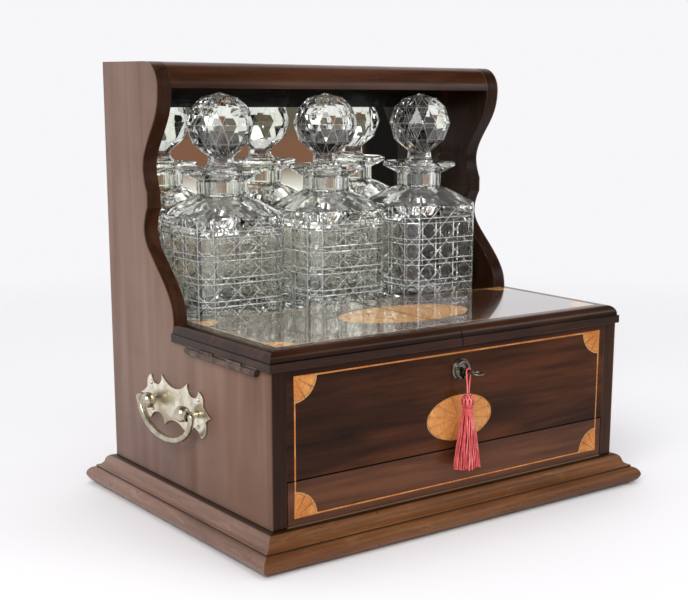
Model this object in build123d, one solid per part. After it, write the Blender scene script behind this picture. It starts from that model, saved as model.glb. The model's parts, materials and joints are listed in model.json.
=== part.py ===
from build123d import *
from math import cos, pi, sin, sqrt
import os

# An inlaid mahogany tantalus: a case with a mirrored decanter bay, two lids that trap
# the decanters when they are shut, a lock that holds both lids and a secret drawer.
# Row frame: origin at the middle of the underside, +X to the right, +Y to the back,
# +Z up. All sizes are in millimetres.

# ---- case ----
CASE_W = 340.0  # over the side boards
CASE_D = 242.0  # front face to back face
SIDE_T = 12.5  # side boards
FRONT_T = 12.0  # front panel, drawer front and front rail
BACK_T = 8.0
BASE_T = 14.0
PLINTH_H = 25.0  # the case shows above this height
BOX_H = 113.5  # plinth top to the underside of the lids
FLOOR_T = 6.0  # dust board over the drawer
DIVIDER_T = 6.0
PARTITION_T = 6.0

# ---- wings of the side boards: (distance from the back face, distance below their top) ----
NOSE_R = 19.0  # round of the wing's and canopy's top front
NOSE = (89.0, NOSE_R)
BROW = (75.6, 52.8)
UPPER_HOLLOW = (62.0, 80.0)
BLOCK_TOP = (67.2, 98.0)
BLOCK_FOOT = (67.2, 110.0)
LOWER_HOLLOW = (61.0, 126.0)
CHEEK = (72.7, 147.3)
CALF = (98.1, 174.5)
ANKLE = (103.7, 186.5)
TOE = (104.8, 196.5)

# ---- plinth moulding ----
PLINTH_OUT = 19.5
PLINTH_FOOT = 11.0  # how far out it touches the floor
PLINTH_NOSE_Z = 7.4
PLINTH_STEP_OUT = 13.0
PLINTH_STEP_Z = 14.0
PLINTH_STEP = 1.5
PLINTH_WAIST = (7.5, 20.2)
PLINTH_FLAT = 2.0
PLINTH_FOOT_R = 9.0  # rounds of its foot and shoulder, and of the ogee over them
PLINTH_SHOULDER_R = 7.5
PLINTH_OGEE_R = 6.0

# ---- lids ----
LID_T = 14.5
LID_GAP = 0.5  # to the wings and the decanter tray
SPLIT_GAP = 0.6  # between the two lids
MOULD_IN = 12.0  # width of the lid moulding inside the case face
FASCIA_OUT = 2.2
FASCIA_H = 6.2
OVOLO_OUT = 0.8
OVOLO_Z = 7.6
OVOLO_R = 7.0
LID_ARRIS_IN = 6.0

# ---- lid hinges ----
HINGE_IN = 63.0  # from the front face to the hinge's middle
HINGE_L = 98.0
KNUCKLE_R = 2.5
HINGE_PIN_R = 1.1
LEAF_T = 1.2
LEAF_W = 10.0
KNUCKLES = 5
WEB_T = 1.6  # web from a knuckle up to the lid's leaf
FIT = 0.05  # radial clearance of a turning pin
AIR = 0.2  # gap between pieces that move past each other

# ---- canopy, mirror and shelf ----
CANOPY_T = 19.5
STOPPER_GAP = 3.0  # from a stopper's point to the canopy
MIRROR_T = 3.0
HEAD_RAIL_H = 15.5
HEAD_RAIL_T = 7.0
SHELF_T = 8.0
TRAY_T = 2.0  # depth of the decanters' seats

# ---- decanters and stoppers ----
DECANTER_SPARE = 10.5  # width of the bay that the three decanters do not share
DECANTER_IN = 52.0  # from the mirror to a decanter's middle
SEAT_GAP = 0.6
BODY_W = 79.5
BODY_CANT = 10.0  # cut off each corner, along each side
BODY_H = 92.5  # heights over the decanter's foot
SHOULDER_H = 106.7
NECK_H = 118.8
RIM_H = 124.2
MOUTH_H = 128.3
SHOULDER_W = 40.0  # across the shoulder where it meets the neck
NECK_R = 19.5
NECK_FACETS = 12
LIP_R = 32.3
GLASS_T = 5.5
GLASS_BASE = 10.0
BORE_R = 12.0
BALL_Z = 162.3  # the ball's widest edge over the decanter's foot
BALL_FACETS = 14
# rings of the ball's corners from its foot up: (radius, height over its widest edge)
BALL_RINGS = [(10.6, -24.5), (22.6, -14.3), (27.1, 0.0), (22.9, 13.2), (14.5, 21.4)]
BALL_POINT = 25.2
STEM_R = 10.6
STEM_FLARE = 2.4
PLUG_L = 24.0
SEAT = 0.3  # the stem's foot over the lip

# ---- drawer ----
DRAWER_GAP = 0.8
DRAWER_H = 32.3
DRAWER_BOX_H = 29.0
DRAWER_SIDE_T = 7.0
DRAWER_FREE = 18.0  # free depth behind the drawer box
DRAWER_BOTTOM_T = 4.0
RUNNER_W = 14.0
GROOVE = 2.0  # how far the drawer bottom lies over the sides' foot

# ---- drawer pin ----
PIN_X = 70.0
PIN_IN = 6.0  # from the front panel's back
PIN_R = 2.0
PIN_TRAVEL = 6.0
KNOB_R = 3.6
BUSH_R = 3.5
FLANGE_R = 5.0
FLANGE_T = 1.0
CATCH_T = 2.0
CATCH_W = 16.0
CATCH_DEEP = 11.0
CATCH_H = 10.0
CATCH_DROP = 2.1  # below the drawer front's top

# ---- inlay ----
INLAY_T = 1.0
STRING_W = 1.7
STRING_IN = 6.0  # from the front panel's ends
STRING_FOOT = 6.0  # over the plinth
STRING_DOWN = 4.5  # below the lids
FAN_R = 19.5
OVAL_A = 32.3
OVAL_B = 17.8
OVAL_Z = 57.4
LID_STRING_IN = 13.0  # from the case faces
LID_STRING_BACK = 6.5  # from the lid's rear edge
LID_OVAL_A = 60.0
LID_OVAL_B = 35.0
LID_OVAL_IN = 70.0  # from the front face

# ---- lock, key and escutcheon ----
KEY_DOWN = 18.5  # below the lids
LOCK_W = 54.0
LOCK_DEEP = 13.5
LOCK_FOOT = 13.0  # lock case below the key
LOCK_T = 1.5
BOLT_T = 2.5
BOLT_IN = 6.25  # from the front panel's back
BOLT_THROW = 6.0
BOLT_POST = 3.5
PRONG_L = 5.1
PRONG_H = 4.0
PRONG_FOOT = 8.6  # over the key
BOLT_RIGHT = 12.0
BOLT_TOP = 4.8  # bolt plate over the key
BIT_R = 7.5
BIT_T = 1.8
BIT_W = 2.4
LUG_T = 2.5
LUG_W = 7.3
LUG_L = 13.3
LUG_LEFT_X = -12.75
LUG_RIGHT_X = 9.25
STAPLE_W = 18.0
STAPLE_T = 1.2
LUG_FREE = 0.8  # round a lug in the lock's top, and round the bolt in a lug's window
SHANK_R = 1.8
KEY_TIP = 1.0  # from the lock's back plate
KEY_OUT = 25.0  # from the front face to the bow's end
BOW_R = 6.6
BOW_WIRE = 1.1
BOW_NECK = 2.2
ESCUTCHEON_R = 8.6
ESCUTCHEON_H = 3.4
KEYHOLE_W = 2.6
KEYHOLE_L = 8.0

# ---- tassel ----
TASSEL_OUT = 9.4  # from the front face
CORD_R = 0.6
CORD_GAP = 0.15
KNOT_DOWN = 17.2  # depths below the key
HEAD_DOWN = 19.4
NECK_DOWN = 28.1
SKIRT_DOWN = 33.6
FOOT_DOWN = 76.5
KNOT_R = 2.1
HEAD_R = 5.3
WRAP_R = 4.6
SKIRT_A = 11.2
SKIRT_B = 8.2

# ---- handles ----
HANDLE_Y = 14.0
HANDLE_Z = 64.3  # pivot over the plinth
PIVOT_OUT = 10.0  # pivot from the side board's face
PLATE_T = 1.6
POST_Y = 35.5  # from the handle's middle
POST_R = 4.2
EYE_W = 4.0
STUB_R = 2.0
BALL_END_R = 6.2
BAIL_Y = 41.0
BAIL_DROP = 24.8
BAIL_R = 2.5
NAIL_R = 1.6
NAIL_SPOTS = [(37.0, 11.5), (36.0, -9.5)]
# half of the batwing plate, clockwise from its upper waist: each point as (along, up),
# and the radius of the edge that leads to it, negative where that edge is hollow
PLATE_WAIST = (0.0, 13.0)
PLATE_EDGE = [
    ((20.0, 20.5), -30.4),
    ((29.0, 11.5), -8.0),
    ((37.0, 17.5), -7.0),
    ((43.5, 7.5), 7.5),
    ((55.0, 0.5), -30.0),
    ((47.0, -4.0), -20.0),
    ((40.0, -17.5), 10.0),
    ((29.0, -11.0), -14.0),
    ((17.0, -18.5), -9.0),
    ((0.0, -12.5), -27.1),
]

# ---- worked out from the sizes above ----
half_w = CASE_W / 2
half_d = CASE_D / 2
inner_x = half_w - SIDE_T
front_y = -half_d
front_back = front_y + FRONT_T
back_y = half_d - BACK_T
box_top = PLINTH_H + BOX_H
lid_top = box_top + LID_T
drawer_foot = PLINTH_H + 1.0
drawer_top = drawer_foot + DRAWER_H
panel_foot = drawer_top + 0.7
floor_top = panel_foot + FLOOR_T
wing_y = half_d - TOE[0]
lid_rear = wing_y - LID_GAP
tray_foot = box_top - TRAY_T
shelf_foot = tray_foot - SHELF_T
canopy_foot = tray_foot + BALL_Z + BALL_POINT + STOPPER_GAP
case_top = canopy_foot + CANOPY_T
mirror_y = back_y - MIRROR_T
key_z = box_top - KEY_DOWN
handle_z = PLINTH_H + HANDLE_Z
pivot_x = -half_w - PIVOT_OUT
hinge_x = -half_w - KNUCKLE_R - 0.1
hinge_z = box_top - KNUCKLE_R - 0.1
hinge_y = (front_y + HINGE_IN - HINGE_L / 2, front_y + HINGE_IN + HINGE_L / 2)
bolt_y = front_back + BOLT_IN
tassel_y = front_y - TASSEL_OUT
drawer_back = back_y - DRAWER_FREE
decanter_y = mirror_y - DECANTER_IN
decanter_pitch = (2 * inner_x - DECANTER_SPARE) / 3
decanter_spots = {"left": -decanter_pitch, "centre": 0.0, "right": decanter_pitch}

os.makedirs("parts", exist_ok=True)


def save(name, *shapes):
    """Writes one node: a single solid, or a group of separate solids."""
    solids = [solid for shape in shapes for solid in shape.solids()]
    export_step(solids[0] if len(solids) == 1 else Compound(children=solids), f"parts/{name}.step")


def block(x, y, z):
    """A box between two limits along each axis."""
    size = [abs(limits[1] - limits[0]) for limits in (x, y, z)]
    middle = [sum(limits) / 2 for limits in (x, y, z)]
    return Pos(*middle) * Box(*size)


def rod_x(x, y, z, radius):
    return Pos(sum(x) / 2, y, z) * Rot(0, 90, 0) * Cylinder(radius, abs(x[1] - x[0]))


def rod_y(x, y, z, radius):
    return Pos(x, sum(y) / 2, z) * Rot(90, 0, 0) * Cylinder(radius, abs(y[1] - y[0]))


def rod_z(x, y, z, radius):
    return Pos(x, y, sum(z) / 2) * Cylinder(radius, abs(z[1] - z[0]))


def other_side(shape):
    return mirror(shape, about=Plane.YZ)


def facing_left(shape):
    """Turns a piece made for the front so that it faces -X."""
    return Rot(0, 0, -90) * shape


def mitred_run(profile, half_run, offset, inner, reach):
    """A moulding along X, on the plane y = -offset, with both ends mitred.
    The profile is drawn as (out, up), from -inner to reach."""
    length = half_run + reach
    start = Plane(origin=(length, -offset, 0), x_dir=(0, -1, 0), z_dir=(-1, 0, 0))
    bar = extrude(start * profile, amount=2 * length)
    plan = Polyline(
        (inner - half_run, inner - offset),
        (half_run - inner, inner - offset),
        (half_run + reach, -offset - reach),
        (-half_run - reach, -offset - reach),
        close=True,
    )
    return bar & extrude(make_face(plan), amount=case_top)


def on_front(sketch, depth=INLAY_T):
    """A flat shape drawn as (x, z), let into the front face."""
    return extrude(Plane.XZ.offset(-front_y - depth) * sketch, amount=depth)


def on_lid(sketch):
    """A flat shape drawn as (x, y), let into the lids' top."""
    return extrude(Pos(0, 0, lid_top - INLAY_T) * sketch, amount=INLAY_T)


# ---- plinth ----
def plinth_profile():
    nose = (PLINTH_OUT, PLINTH_NOSE_Z)
    step = (PLINTH_STEP_OUT, PLINTH_STEP_Z)
    ledge = (PLINTH_STEP_OUT, PLINTH_STEP_Z + PLINTH_STEP)
    top = (PLINTH_FLAT, PLINTH_H)
    return make_face(
        [
            Line((0, 0), (PLINTH_FOOT, 0)),
            RadiusArc((PLINTH_FOOT, 0), nose, -PLINTH_FOOT_R),
            RadiusArc(nose, step, -PLINTH_SHOULDER_R),
            Line(step, ledge),
            RadiusArc(ledge, PLINTH_WAIST, PLINTH_OGEE_R),
            RadiusArc(PLINTH_WAIST, top, -PLINTH_OGEE_R),
            Line(top, (0, PLINTH_H)),
            Line((0, PLINTH_H), (0, 0)),
        ]
    )


def make_plinth():
    profile = plinth_profile()
    front = mitred_run(profile, half_w, half_d, 0, PLINTH_OUT)
    side = facing_left(mitred_run(profile, half_d, half_w, 0, PLINTH_OUT))
    save("plinth_front", front)
    save("plinth_rear", Rot(0, 0, 180) * front)
    save("plinth_left", side)
    save("plinth_right", other_side(side))


# ---- case ----
def lifted(point):
    """A point of the wing's outline as (y, z) in the row frame."""
    return (half_d - point[0], case_top - point[1])


def wing_front():
    """The serpentine front of a wing, from its round top down to its toe."""
    upper = Spline(
        lifted(NOSE),
        lifted(BROW),
        lifted(UPPER_HOLLOW),
        lifted(BLOCK_TOP),
        tangents=[(0, -1), (-0.45, -0.9)],
    )
    flat = Line(lifted(BLOCK_TOP), lifted(BLOCK_FOOT))
    lower = Spline(
        lifted(BLOCK_FOOT),
        lifted(LOWER_HOLLOW),
        lifted(CHEEK),
        lifted(CALF),
        lifted(ANKLE),
        lifted(TOE),
        tangents=[(0.55, -0.85), (0, -1)],
        tangent_scalars=[0.6, 0.6],
    )
    return [upper, flat, lower]


def side_outline():
    nose = lifted(NOSE)
    crown = (nose[0] + NOSE_R, case_top)
    return make_face(
        [
            Line((front_y, BASE_T), (half_d, BASE_T)),
            Line((half_d, BASE_T), (half_d, case_top)),
            Line((half_d, case_top), crown),
            RadiusArc(crown, nose, -NOSE_R),
            *wing_front(),
            Line(lifted(TOE), (wing_y, box_top)),
            Line((wing_y, box_top), (front_y, box_top)),
            Line((front_y, box_top), (front_y, BASE_T)),
        ]
    )


def leaf_box():
    """The space of the case's hinge leaf, let into the side board's top edge."""
    return block(
        (hinge_x, -half_w + LEAF_W),
        hinge_y,
        (box_top - LEAF_T - 0.1, box_top),
    )


def make_case():
    save("base_board", block((-half_w, half_w), (front_y, half_d), (0, BASE_T)))
    side = extrude(Plane.YZ.offset(-half_w) * side_outline(), amount=SIDE_T) - leaf_box()
    save("side_left", side)
    save("side_right", other_side(side))
    save("back_board", block((-inner_x, inner_x), (back_y, half_d), (BASE_T, canopy_foot)))
    nose = lifted(NOSE)
    crown = (nose[0] + NOSE_R, case_top)
    canopy = make_face(
        [
            Line((half_d, canopy_foot), (half_d, case_top)),
            Line((half_d, case_top), crown),
            RadiusArc(crown, nose, -NOSE_R),
            Line(nose, (nose[0], canopy_foot)),
            Line((nose[0], canopy_foot), (half_d, canopy_foot)),
        ]
    )
    save("canopy", extrude(Plane.YZ.offset(-inner_x) * canopy, amount=2 * inner_x))
    save("mirror_plate", block((-inner_x, inner_x), (mirror_y, back_y), (box_top, canopy_foot)))
    save(
        "mirror_head_rail",
        block(
            (-inner_x, inner_x),
            (mirror_y - HEAD_RAIL_T, mirror_y),
            (canopy_foot - HEAD_RAIL_H, canopy_foot),
        ),
    )
    shelf = block((-inner_x, inner_x), (wing_y, back_y), (shelf_foot, tray_foot))
    save("decanter_shelf", shelf)
    tray = block((-inner_x, inner_x), (wing_y, back_y), (tray_foot, box_top))
    seat = BODY_W / 2 + SEAT_GAP
    for x in decanter_spots.values():
        seat_y = (decanter_y - seat, decanter_y + seat)
        tray -= block((x - seat, x + seat), seat_y, (tray_foot, box_top))
    save("decanter_tray", tray)
    save(
        "bay_partition",
        block((-inner_x, inner_x), (wing_y, wing_y + PARTITION_T), (floor_top, shelf_foot)),
    )
    lock_back = front_back + LOCK_DEEP
    save(
        "compartment_divider",
        block((-DIVIDER_T / 2, DIVIDER_T / 2), (lock_back, wing_y), (floor_top, shelf_foot)),
    )
    pin_y = front_back + PIN_IN
    dust_board = block((-inner_x, inner_x), (front_back, back_y), (panel_foot, floor_top))
    save("compartment_floor", dust_board - rod_z(PIN_X, pin_y, (panel_foot, floor_top), BUSH_R))
    rail_top = drawer_foot - AIR
    save("front_rail", block((-inner_x, inner_x), (front_y, front_back), (BASE_T, rail_top)))
    runner = block((-inner_x, -inner_x + RUNNER_W), (front_back, back_y), (BASE_T, rail_top))
    save("drawer_runners", runner, other_side(runner))


def keyhole(y):
    """A keyhole through the span y: a round for the shank and a slot for the bit."""
    slot = (-KEYHOLE_W / 2, KEYHOLE_W / 2)
    return rod_y(0, y, key_z, SHANK_R + FIT) + block(slot, y, (key_z - KEYHOLE_L, key_z))


# ---- inlay on the front ----
def fan(x, z, turn):
    """A quarter fan with its corner at (x, z)."""
    quarter = Circle(FAN_R) & Pos(FAN_R / 2, FAN_R / 2) * Rectangle(FAN_R, FAN_R)
    return Pos(x, z) * Rot(0, 0, turn) * quarter


def front_stringing():
    """The stringing with its four fans over the whole front, panel and drawer."""
    foot = PLINTH_H + STRING_FOOT
    top = box_top - STRING_DOWN
    end = inner_x - STRING_IN
    middle = Pos(0, (foot + top) / 2)
    line = middle * Rectangle(2 * end, top - foot)
    line -= middle * Rectangle(2 * end - 2 * STRING_W, top - foot - 2 * STRING_W)
    line += fan(-end, foot, 0) + fan(end, foot, 90) + fan(end, top, 180) + fan(-end, top, 270)
    return line


def make_front():
    inlay = on_front(front_stringing())
    oval = on_front(Pos(0, PLINTH_H + OVAL_Z) * Ellipse(OVAL_A, OVAL_B))
    panel = block((-inner_x, inner_x), (front_y, front_back), (panel_foot, box_top))
    save("front_panel", panel - inlay - oval - keyhole((front_y, front_back)))
    save("front_inlay", inlay & panel, oval)
    return inlay


# ---- drawer ----
def make_drawer(inlay):
    side_x = inner_x - DRAWER_GAP
    deep = (front_back, drawer_back)
    inside_x = side_x - DRAWER_SIDE_T
    front = block((-side_x, side_x), (front_y, front_back), (drawer_foot, drawer_top))
    save("drawer_front", front - inlay)
    save("drawer_inlay", inlay & front)
    box_z = (drawer_foot, drawer_foot + DRAWER_BOX_H)
    side = block((-side_x, -inside_x), deep, box_z)
    save("drawer_side_left", side)
    save("drawer_side_right", other_side(side))
    bottom_foot = drawer_foot + GROOVE
    bottom_top = bottom_foot + DRAWER_BOTTOM_T
    back_face = drawer_back - DRAWER_SIDE_T
    save("drawer_bottom", block((-inside_x, inside_x), deep, (bottom_foot, bottom_top)))
    back_z = (bottom_top, box_z[1])
    save("drawer_back", block((-inside_x, inside_x), (back_face, drawer_back), back_z))


def make_drawer_pin():
    """The pin that holds the drawer, drawn raised, with its bush and the drawer's catch."""
    pin_y = front_back + PIN_IN
    bush = rod_z(PIN_X, pin_y, (panel_foot, floor_top), BUSH_R)
    bush += rod_z(PIN_X, pin_y, (floor_top, floor_top + FLANGE_T), FLANGE_R)
    bush -= rod_z(PIN_X, pin_y, (panel_foot, floor_top + FLANGE_T), PIN_R + FIT)
    save("pin_bush", bush)
    tip = panel_foot + AIR
    collar = floor_top + FLANGE_T + PIN_TRAVEL
    pin = rod_z(PIN_X, pin_y, (tip, collar + KNOB_R), PIN_R)
    pin += rod_z(PIN_X, pin_y, (collar, collar + FLANGE_T), KNOB_R)
    pin += Pos(PIN_X, pin_y, collar + FLANGE_T + 1.6 * KNOB_R) * Sphere(KNOB_R)
    save("drawer_pin", pin)
    leaf_top = drawer_top - CATCH_DROP
    catch_x = (PIN_X - CATCH_W / 2, PIN_X + CATCH_W / 2)
    catch = block(catch_x, (front_back, front_back + CATCH_DEEP), (leaf_top - CATCH_T, leaf_top))
    catch += block(catch_x, (front_back, front_back + CATCH_T), (leaf_top - CATCH_H, leaf_top))
    hole = PIN_R + AIR
    catch -= block(
        (PIN_X - hole, PIN_X + hole), (pin_y - hole, pin_y + hole), (leaf_top - CATCH_T, leaf_top)
    )
    save("drawer_catch", catch)


# ---- lids ----
def lid_profile():
    """The lid moulding in section: a fascia, a ledge and an ovolo up to the lid's top."""
    ovolo_foot = (OVOLO_OUT, box_top + OVOLO_Z)
    arris = (-LID_ARRIS_IN, lid_top)
    return make_face(
        [
            Line((-MOULD_IN, box_top), (FASCIA_OUT, box_top)),
            Line((FASCIA_OUT, box_top), (FASCIA_OUT, box_top + FASCIA_H)),
            Line((FASCIA_OUT, box_top + FASCIA_H), (OVOLO_OUT, box_top + FASCIA_H + 0.4)),
            Line((OVOLO_OUT, box_top + FASCIA_H + 0.4), ovolo_foot),
            RadiusArc(ovolo_foot, arris, -OVOLO_R),
            Line(arris, (-MOULD_IN, lid_top)),
            Line((-MOULD_IN, lid_top), (-MOULD_IN, box_top)),
        ]
    )


def staple(x):
    """The plate let into a lid's underside, with the lug that the bolt goes through."""
    plate = block(
        (x - STAPLE_W / 2, x + STAPLE_W / 2),
        (bolt_y - LUG_W / 2 - 2, bolt_y + LUG_W / 2 + 2),
        (box_top, box_top + STAPLE_T),
    )
    lug = block(
        (x - LUG_T / 2, x + LUG_T / 2),
        (bolt_y - LUG_W / 2, bolt_y + LUG_W / 2),
        (box_top - LUG_L, box_top),
    )
    window = block(
        (x - LUG_T, x + LUG_T),
        (bolt_y - BOLT_T / 2 - LUG_FREE, bolt_y + BOLT_T / 2 + LUG_FREE),
        (key_z + PRONG_FOOT - LUG_FREE, key_z + PRONG_FOOT + PRONG_H + LUG_FREE),
    )
    return plate + lug - window, plate


def lid_leaf_plate():
    return block(
        (hinge_x, -half_w + LEAF_W),
        hinge_y,
        (box_top + FIT, box_top + FIT + LEAF_T),
    )


def make_lids():
    edge_x = -SPLIT_GAP / 2
    panel = block((-half_w + MOULD_IN, edge_x), (front_y + MOULD_IN, lid_rear), (box_top, lid_top))
    profile = lid_profile()
    keep_left = block((-CASE_W, edge_x), (-CASE_D, CASE_D), (0, case_top))
    keep_front = block((-CASE_W, CASE_W), (-CASE_D, lid_rear), (0, case_top))
    front_run = mitred_run(profile, half_w, half_d, MOULD_IN, FASCIA_OUT) & keep_left
    side_run = facing_left(mitred_run(profile, half_d, half_w, MOULD_IN, FASCIA_OUT)) & keep_front
    hinge_room = lid_leaf_plate()
    hinge_room += block(
        (-half_w - FASCIA_OUT, -half_w + LEAF_W),
        hinge_y,
        (box_top, box_top + FIT),
    )

    string_x = half_w - LID_STRING_IN
    rear = lid_rear - LID_STRING_BACK
    fore = front_y + LID_STRING_IN
    middle = Pos(0, (rear + fore) / 2)
    line = middle * Rectangle(2 * string_x, rear - fore)
    line -= middle * Rectangle(2 * string_x - 2 * STRING_W, rear - fore - 2 * STRING_W)
    line += fan(-string_x, fore, 0) + fan(-string_x, rear, 270)
    line += Pos(0, front_y + LID_OVAL_IN) * Ellipse(LID_OVAL_A, LID_OVAL_B)
    inlay = on_lid(line) & keep_left

    for hand, flip, lug_x in (("left", False, LUG_LEFT_X), ("right", True, -LUG_RIGHT_X)):
        turned = other_side if flip else (lambda shape: shape)
        staple_shape, plate = staple(lug_x)
        room = plate + hinge_room
        save(f"lid_panel_{hand}", turned(panel - inlay - room))
        save(f"lid_moulding_{hand}", turned(front_run - inlay - room), turned(side_run - inlay - room))
        save(f"lid_inlay_{hand}", turned(inlay))
        save(f"lid_staple_{hand}", turned(staple_shape))


def make_hinges():
    """Butt hinges with alternate knuckles round one pin on each side."""
    step = HINGE_L / KNUCKLES
    fixed = leaf_box()
    moving = lid_leaf_plate()
    web_z = (hinge_z, box_top + FIT + LEAF_T)
    for i in range(KNUCKLES):
        start = hinge_y[0] + i * step
        span = (start + FIT, start + step - FIT)
        room = (start - FIT, start + step + FIT)
        knuckle = rod_y(hinge_x, span, hinge_z, KNUCKLE_R)
        if i % 2:
            web = block((hinge_x - WEB_T / 2, hinge_x + WEB_T / 2), span, web_z)
            moving += knuckle + web
            fixed -= block((hinge_x - KNUCKLE_R, -half_w - FIT), room, (0, case_top))
        else:
            fixed += knuckle
    pin = rod_y(hinge_x, hinge_y, hinge_z, HINGE_PIN_R)
    bore = rod_y(hinge_x, hinge_y, hinge_z, HINGE_PIN_R + FIT)
    tight = rod_y(hinge_x, hinge_y, hinge_z, HINGE_PIN_R)
    save("case_hinge_leaves", fixed - tight, other_side(fixed - tight))
    save("lid_hinge_leaf_left", moving - bore)
    save("lid_hinge_leaf_right", other_side(moving - bore))
    save("hinge_pins", pin, other_side(pin))


# ---- lock ----
def make_lock():
    back = front_back + LOCK_DEEP
    top = box_top - AIR
    foot = key_z - LOCK_FOOT
    case = block((-LOCK_W / 2, LOCK_W / 2), (front_back, back), (foot, top))
    cavity_foot = foot + LOCK_T
    case -= block(
        (-LOCK_W / 2 + LOCK_T, LOCK_W / 2 - LOCK_T),
        (front_back + LOCK_T, back - LOCK_T),
        (cavity_foot, top - LOCK_T),
    )
    for x in (LUG_LEFT_X, LUG_RIGHT_X):
        case -= block(
            (x - LUG_T / 2 - 1.2, x + LUG_T / 2 + 1.2),
            (bolt_y - LUG_W / 2 - LUG_FREE, bolt_y + LUG_W / 2 + LUG_FREE),
            (top - LOCK_T, top),
        )
    save("lock_case", case - keyhole((front_back, front_back + LOCK_T)))

    # the bolt's plate, with a window round the key and a tooth that its bit pushes
    y = (bolt_y - BOLT_T / 2, bolt_y + BOLT_T / 2)
    foot_z = cavity_foot + AIR
    prong_z = (key_z + PRONG_FOOT, key_z + PRONG_FOOT + PRONG_H)
    bolt_top = key_z + BOLT_TOP
    post_1 = LUG_LEFT_X - LUG_T / 2 - BOLT_THROW - 0.3
    post_2 = LUG_RIGHT_X - LUG_T / 2 - BOLT_THROW - 0.3
    left = post_1 - BOLT_POST
    bolt = block((left, BOLT_RIGHT), y, (foot_z, bolt_top))
    window_foot = key_z - BIT_R - 0.6
    bolt -= block((-BIT_R - 2.7, SHANK_R + 1.2), y, (window_foot, key_z + SHANK_R + 1.0))
    bolt += block((-4.9, -2.9), y, (window_foot, key_z - 5.0))
    for post in (post_1, post_2):
        bolt += block((post - BOLT_POST, post), y, (foot_z if post == post_1 else bolt_top, prong_z[1]))
        bolt += block((post, post + PRONG_L), y, prong_z)
    save("lock_bolt", bolt)


def make_key():
    tip = front_back + LOCK_DEEP - LOCK_T - KEY_TIP
    bow_end = front_y - KEY_OUT
    bow_y = bow_end + BOW_R
    neck_y = bow_y + BOW_R - BOW_WIRE
    key = rod_y(0, (neck_y, tip), key_z, SHANK_R)
    key += rod_y(0, (neck_y + 0.6, neck_y + 0.6 + BOW_NECK), key_z, SHANK_R + 1.0)
    key += Pos(0, bow_y, key_z) * Torus(BOW_R - BOW_WIRE, BOW_WIRE)
    bit_y = (bolt_y - BIT_W / 2, bolt_y + BIT_W / 2)
    key += block((-BIT_R, 0), bit_y, (key_z - BIT_T / 2, key_z + BIT_T / 2))
    save("key", key)


def make_escutcheon():
    rim = ESCUTCHEON_R
    tall = ESCUTCHEON_H
    outline = [(0, 0), (rim, 0), (rim, 0.9), (rim - 1.0, 1.5), (rim - 1.6, tall)]
    outline += [(rim - 3.0, tall), (rim - 3.6, 1.2), (0, 1.2)]
    profile = make_face(Polyline(*outline, close=True))
    ring = revolve(Plane.XZ * profile, axis=Axis.Z)
    ring = Pos(0, front_y, key_z) * Rot(90, 0, 0) * ring
    save("escutcheon", ring - keyhole((front_y - tall, front_y)))


# ---- tassel ----
def make_tassel():
    y = tassel_y
    around = SHANK_R + CORD_R + CORD_GAP
    knot_top = key_z - KNOT_DOWN
    strand = CORD_R + 0.05
    over = key_z + around
    route = [
        (-strand, y, knot_top),
        (-strand - 0.1, y, knot_top + 5.0),
        (-around, y, key_z - 4.0),
        (-around, y, over),
        (around, y, over),
        (around, y, key_z - 4.0),
        (strand + 0.1, y, knot_top + 5.0),
        (strand, y, knot_top),
    ]
    bend = 0.96 * around
    path = FilletPolyline(*route, radius=[4.0, 6.0, bend, bend, 6.0, 4.0])
    tube = sweep(Plane(origin=path @ 0, z_dir=path % 0) * Circle(CORD_R), path=path)
    save("tassel_cord", tube)

    head_top = key_z - HEAD_DOWN
    head_foot = key_z - NECK_DOWN
    neck_foot = key_z - SKIRT_DOWN
    edges = [
        Line((0, neck_foot), (WRAP_R, neck_foot)),
        Line((WRAP_R, neck_foot), (WRAP_R, head_foot)),
        Spline((WRAP_R, head_foot), (HEAD_R, head_foot + 3.6), (KNOT_R, head_top)),
        ThreePointArc((KNOT_R, head_top), (KNOT_R + 0.5, head_top + 1.1), (KNOT_R, knot_top)),
        Line((KNOT_R, knot_top), (0, knot_top)),
        Line((0, knot_top), (0, neck_foot)),
    ]
    head = revolve(Plane.XZ * make_face(edges), axis=Axis.Z)
    save("tassel_head", Pos(0, y, 0) * head)
    skirt_foot = key_z - FOOT_DOWN
    top_face = Pos(0, y, neck_foot) * Ellipse(WRAP_R + 0.3, WRAP_R + 0.2)
    mid_face = Pos(0, y, (neck_foot + skirt_foot) / 2) * Ellipse(0.72 * SKIRT_A + 0.6, 0.8 * SKIRT_B)
    low_face = Pos(0, y, skirt_foot) * Ellipse(SKIRT_A, SKIRT_B)
    save("tassel_skirt", loft([low_face, mid_face, top_face]))


# ---- handles ----
def plate_outline():
    """The batwing plate: hollow curves between sharp tips, the same both ways from its middle."""
    starts = [PLATE_WAIST] + [point for point, _ in PLATE_EDGE]
    half = [RadiusArc(start, end, radius) for start, (end, radius) in zip(starts, PLATE_EDGE)]
    return make_face(half + [edge.mirror(Plane.YZ) for edge in half])


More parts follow.
